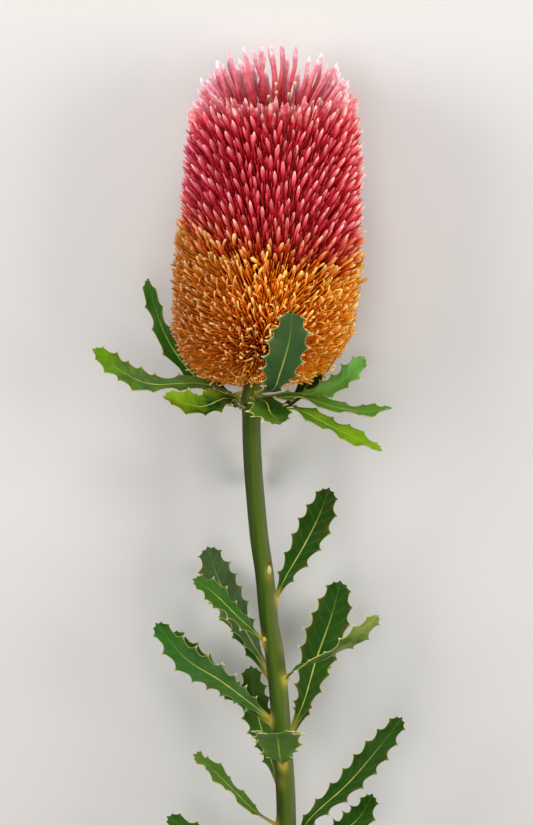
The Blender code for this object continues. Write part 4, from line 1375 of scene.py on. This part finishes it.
def make_leaf(name, rng):
    foot_y, foot_turn, beyond, face_foot, face_tip, width, teeth, trough, old, young = LEAVES[name]
    angle = math.radians(foot_turn)
    out = np.array((math.cos(angle), 0.0, math.sin(angle)))
    foot = stem_centre(foot_y) + (stem_radius(foot_y) - LEAF_FOOT_SINK) * out
    line = np.array((tuple(foot), *beyond))
    t, pointed = leaf_stations(teeth)
    centre = smooth_points(line, t)
    along = unit(np.gradient(centre, axis=0))
    face = mixed(np.array(face_foot)[None, :], np.array(face_tip)[None, :], t[:, None])
    across = unit(np.cross(along, face))
    face = np.cross(across, along)
    full = leaf_half_width(t, width)
    notch = np.minimum(TOOTH_DEPTH, TOOTH_SHARE_LIMIT * full) * (1.0 - pointed**TOOTH_HOLLOW)
    spine = np.clip((pointed - SPINE_FROM) / SPINE_BAND, 0.0, 1.0) * (t > FIRST_TOOTH_AT)
    s = np.linspace(-1.0, 1.0, ACROSS)
    s = np.sign(s) * np.abs(s) ** ACROSS_CROWDING
    half = (full - notch)[:, None] * np.ones_like(s)[None, :]
    edge = np.abs(s)[None, :] ** EDGE_POWER
    half = half + SPINE_LENGTH * spine[:, None] * edge
    wave = EDGE_WAVE * np.sin(math.pi * teeth * t + rng.uniform(0, math.tau))
    wave = wave[:, None] * np.sign(s)[None, :] * s[None, :] ** 2
    wave = wave * np.clip(t * WAVE_RISE, 0, 1)[:, None]
    puckers = math.tau * (VEINS * t[:, None] - VEIN_SWEEP * np.abs(s)[None, :])
    puckers = PUCKER * np.sin(puckers) * (1 - edge) * np.clip(t * PUCKER_RISE, 0, 1)[:, None]
    lift = trough * (full / (0.5 * width))[:, None] * s[None, :] ** 2 + wave + puckers
    body = mixed(BLADE_THICKNESS, MARGIN_THICKNESS, s[None, :] ** 4) * np.ones_like(half)
    petiole = np.clip(1.0 - t / PETIOLE_SHARE, 0.0, 1.0)[:, None] ** PETIOLE_FADE
    stalk = PETIOLE_THICKNESS * (1.0 - PETIOLE_FLATTENING * s[None, :] ** 2)
    body = mixed(body, stalk, petiole)
    rib = np.exp(-((half * s[None, :]) / RIB_SPREAD) ** 2) * (1.0 - RIB_LOWERING * t)[:, None]
    ahead = np.where(t == 1.0, TIP_SPINE_LENGTH, 0.0)[:, None]
    ahead = ahead * np.exp(-((s[None, :]) / TIP_SPINE_WIDTH) ** 2)
    middle = (
        centre[:, None, :]
        + (half * s[None, :])[..., None] * across[:, None, :]
        + ahead[..., None] * along[:, None, :]
    )
    upper = middle + (lift + 0.5 * body - RIB_GROOVE * rib)[..., None] * face[:, None, :]
    lower = middle + (lift - 0.5 * body - RIB_HEIGHT * rib)[..., None] * face[:, None, :]
    points = np.concatenate((upper.reshape(-1, 3), lower.reshape(-1, 3)))
    points[:, 2] = np.maximum(points[:, 2], LEAF_CLEARANCE)
    flat = np.broadcast_to(t[:, None], half.shape).ravel()
    wide = np.broadcast_to(s[None, :], half.shape).ravel()
    prick = (spine[:, None] ** 2 * np.abs(s)[None, :] ** SPINE_FINENESS).ravel()
    values = {
        "along": np.concatenate((flat, flat)),
        "across": np.concatenate((wide, wide)),
        "spine": np.concatenate((prick, prick)),
        "under": np.concatenate((np.zeros(half.size), np.ones(half.size))),
    }
    skin = blade_material(name, old, young)
    new_piece(name + "_blade", points, closed_sheet(*half.shape), values, skin, [name])


leaf_rng = np.random.default_rng(3)
for leaf_name in LEAVES:
    make_leaf(leaf_name, leaf_rng)

# Table and light
# A plain pale table and soft studio light: a large soft lamp on either side, one beyond
# the crown, a weak one overhead, and an even pale room.
TABLE_SIZE = 4000.0
TABLE_COLOUR = (0.70, 0.69, 0.675)
LAMPS = (
    ("left lamp", (-800.0, 120.0, 520.0), 600.0, 6.4, (1.0, 0.97, 0.94)),
    ("right lamp", (800.0, -40.0, 520.0), 600.0, 5.8, (1.0, 0.98, 0.95)),
    ("far lamp", (60.0, 850.0, 560.0), 600.0, 5.8, (1.0, 0.98, 0.96)),
    ("overhead lamp", (-150.0, -250.0, 1300.0), 500.0, 3.0, (1.0, 0.99, 0.97)),
)
LAMPS_AIM_AT = (0.0, -30.0, 30.0)
ROOM_COLOUR = (0.92, 0.95, 1.0)
ROOM_STRENGTH = 0.14

bpy.ops.mesh.primitive_plane_add(size=TABLE_SIZE * MM)
table = bpy.context.object
table.name = "table"
table_finish, _, table_shader = new_material("table finish")
table_shader.inputs["Base Color"].default_value = (*TABLE_COLOUR, 1.0)
table_shader.inputs["Roughness"].default_value = 0.9
table.data.materials.append(table_finish)

for lamp_name, place, size, power, colour in LAMPS:
    lamp_data = bpy.data.lights.new(lamp_name, "AREA")
    lamp_data.size = size * MM
    lamp_data.energy = power
    lamp_data.color = colour
    lamp = new_object(lamp_name, lamp_data)
    lamp.location = [value * MM for value in place]
    aim = mathutils.Vector(LAMPS_AIM_AT) - mathutils.Vector(place)
    lamp.rotation_euler = aim.to_track_quat("-Z", "Y").to_euler()

room = bpy.data.worlds.new("room")
room.use_nodes = True
room_light = room.node_tree.nodes["Background"]
room_light.inputs["Color"].default_value = (*ROOM_COLOUR, 1.0)
room_light.inputs["Strength"].default_value = ROOM_STRENGTH
bpy.context.scene.world = room
bpy.context.scene.view_settings.view_transform = "Standard"
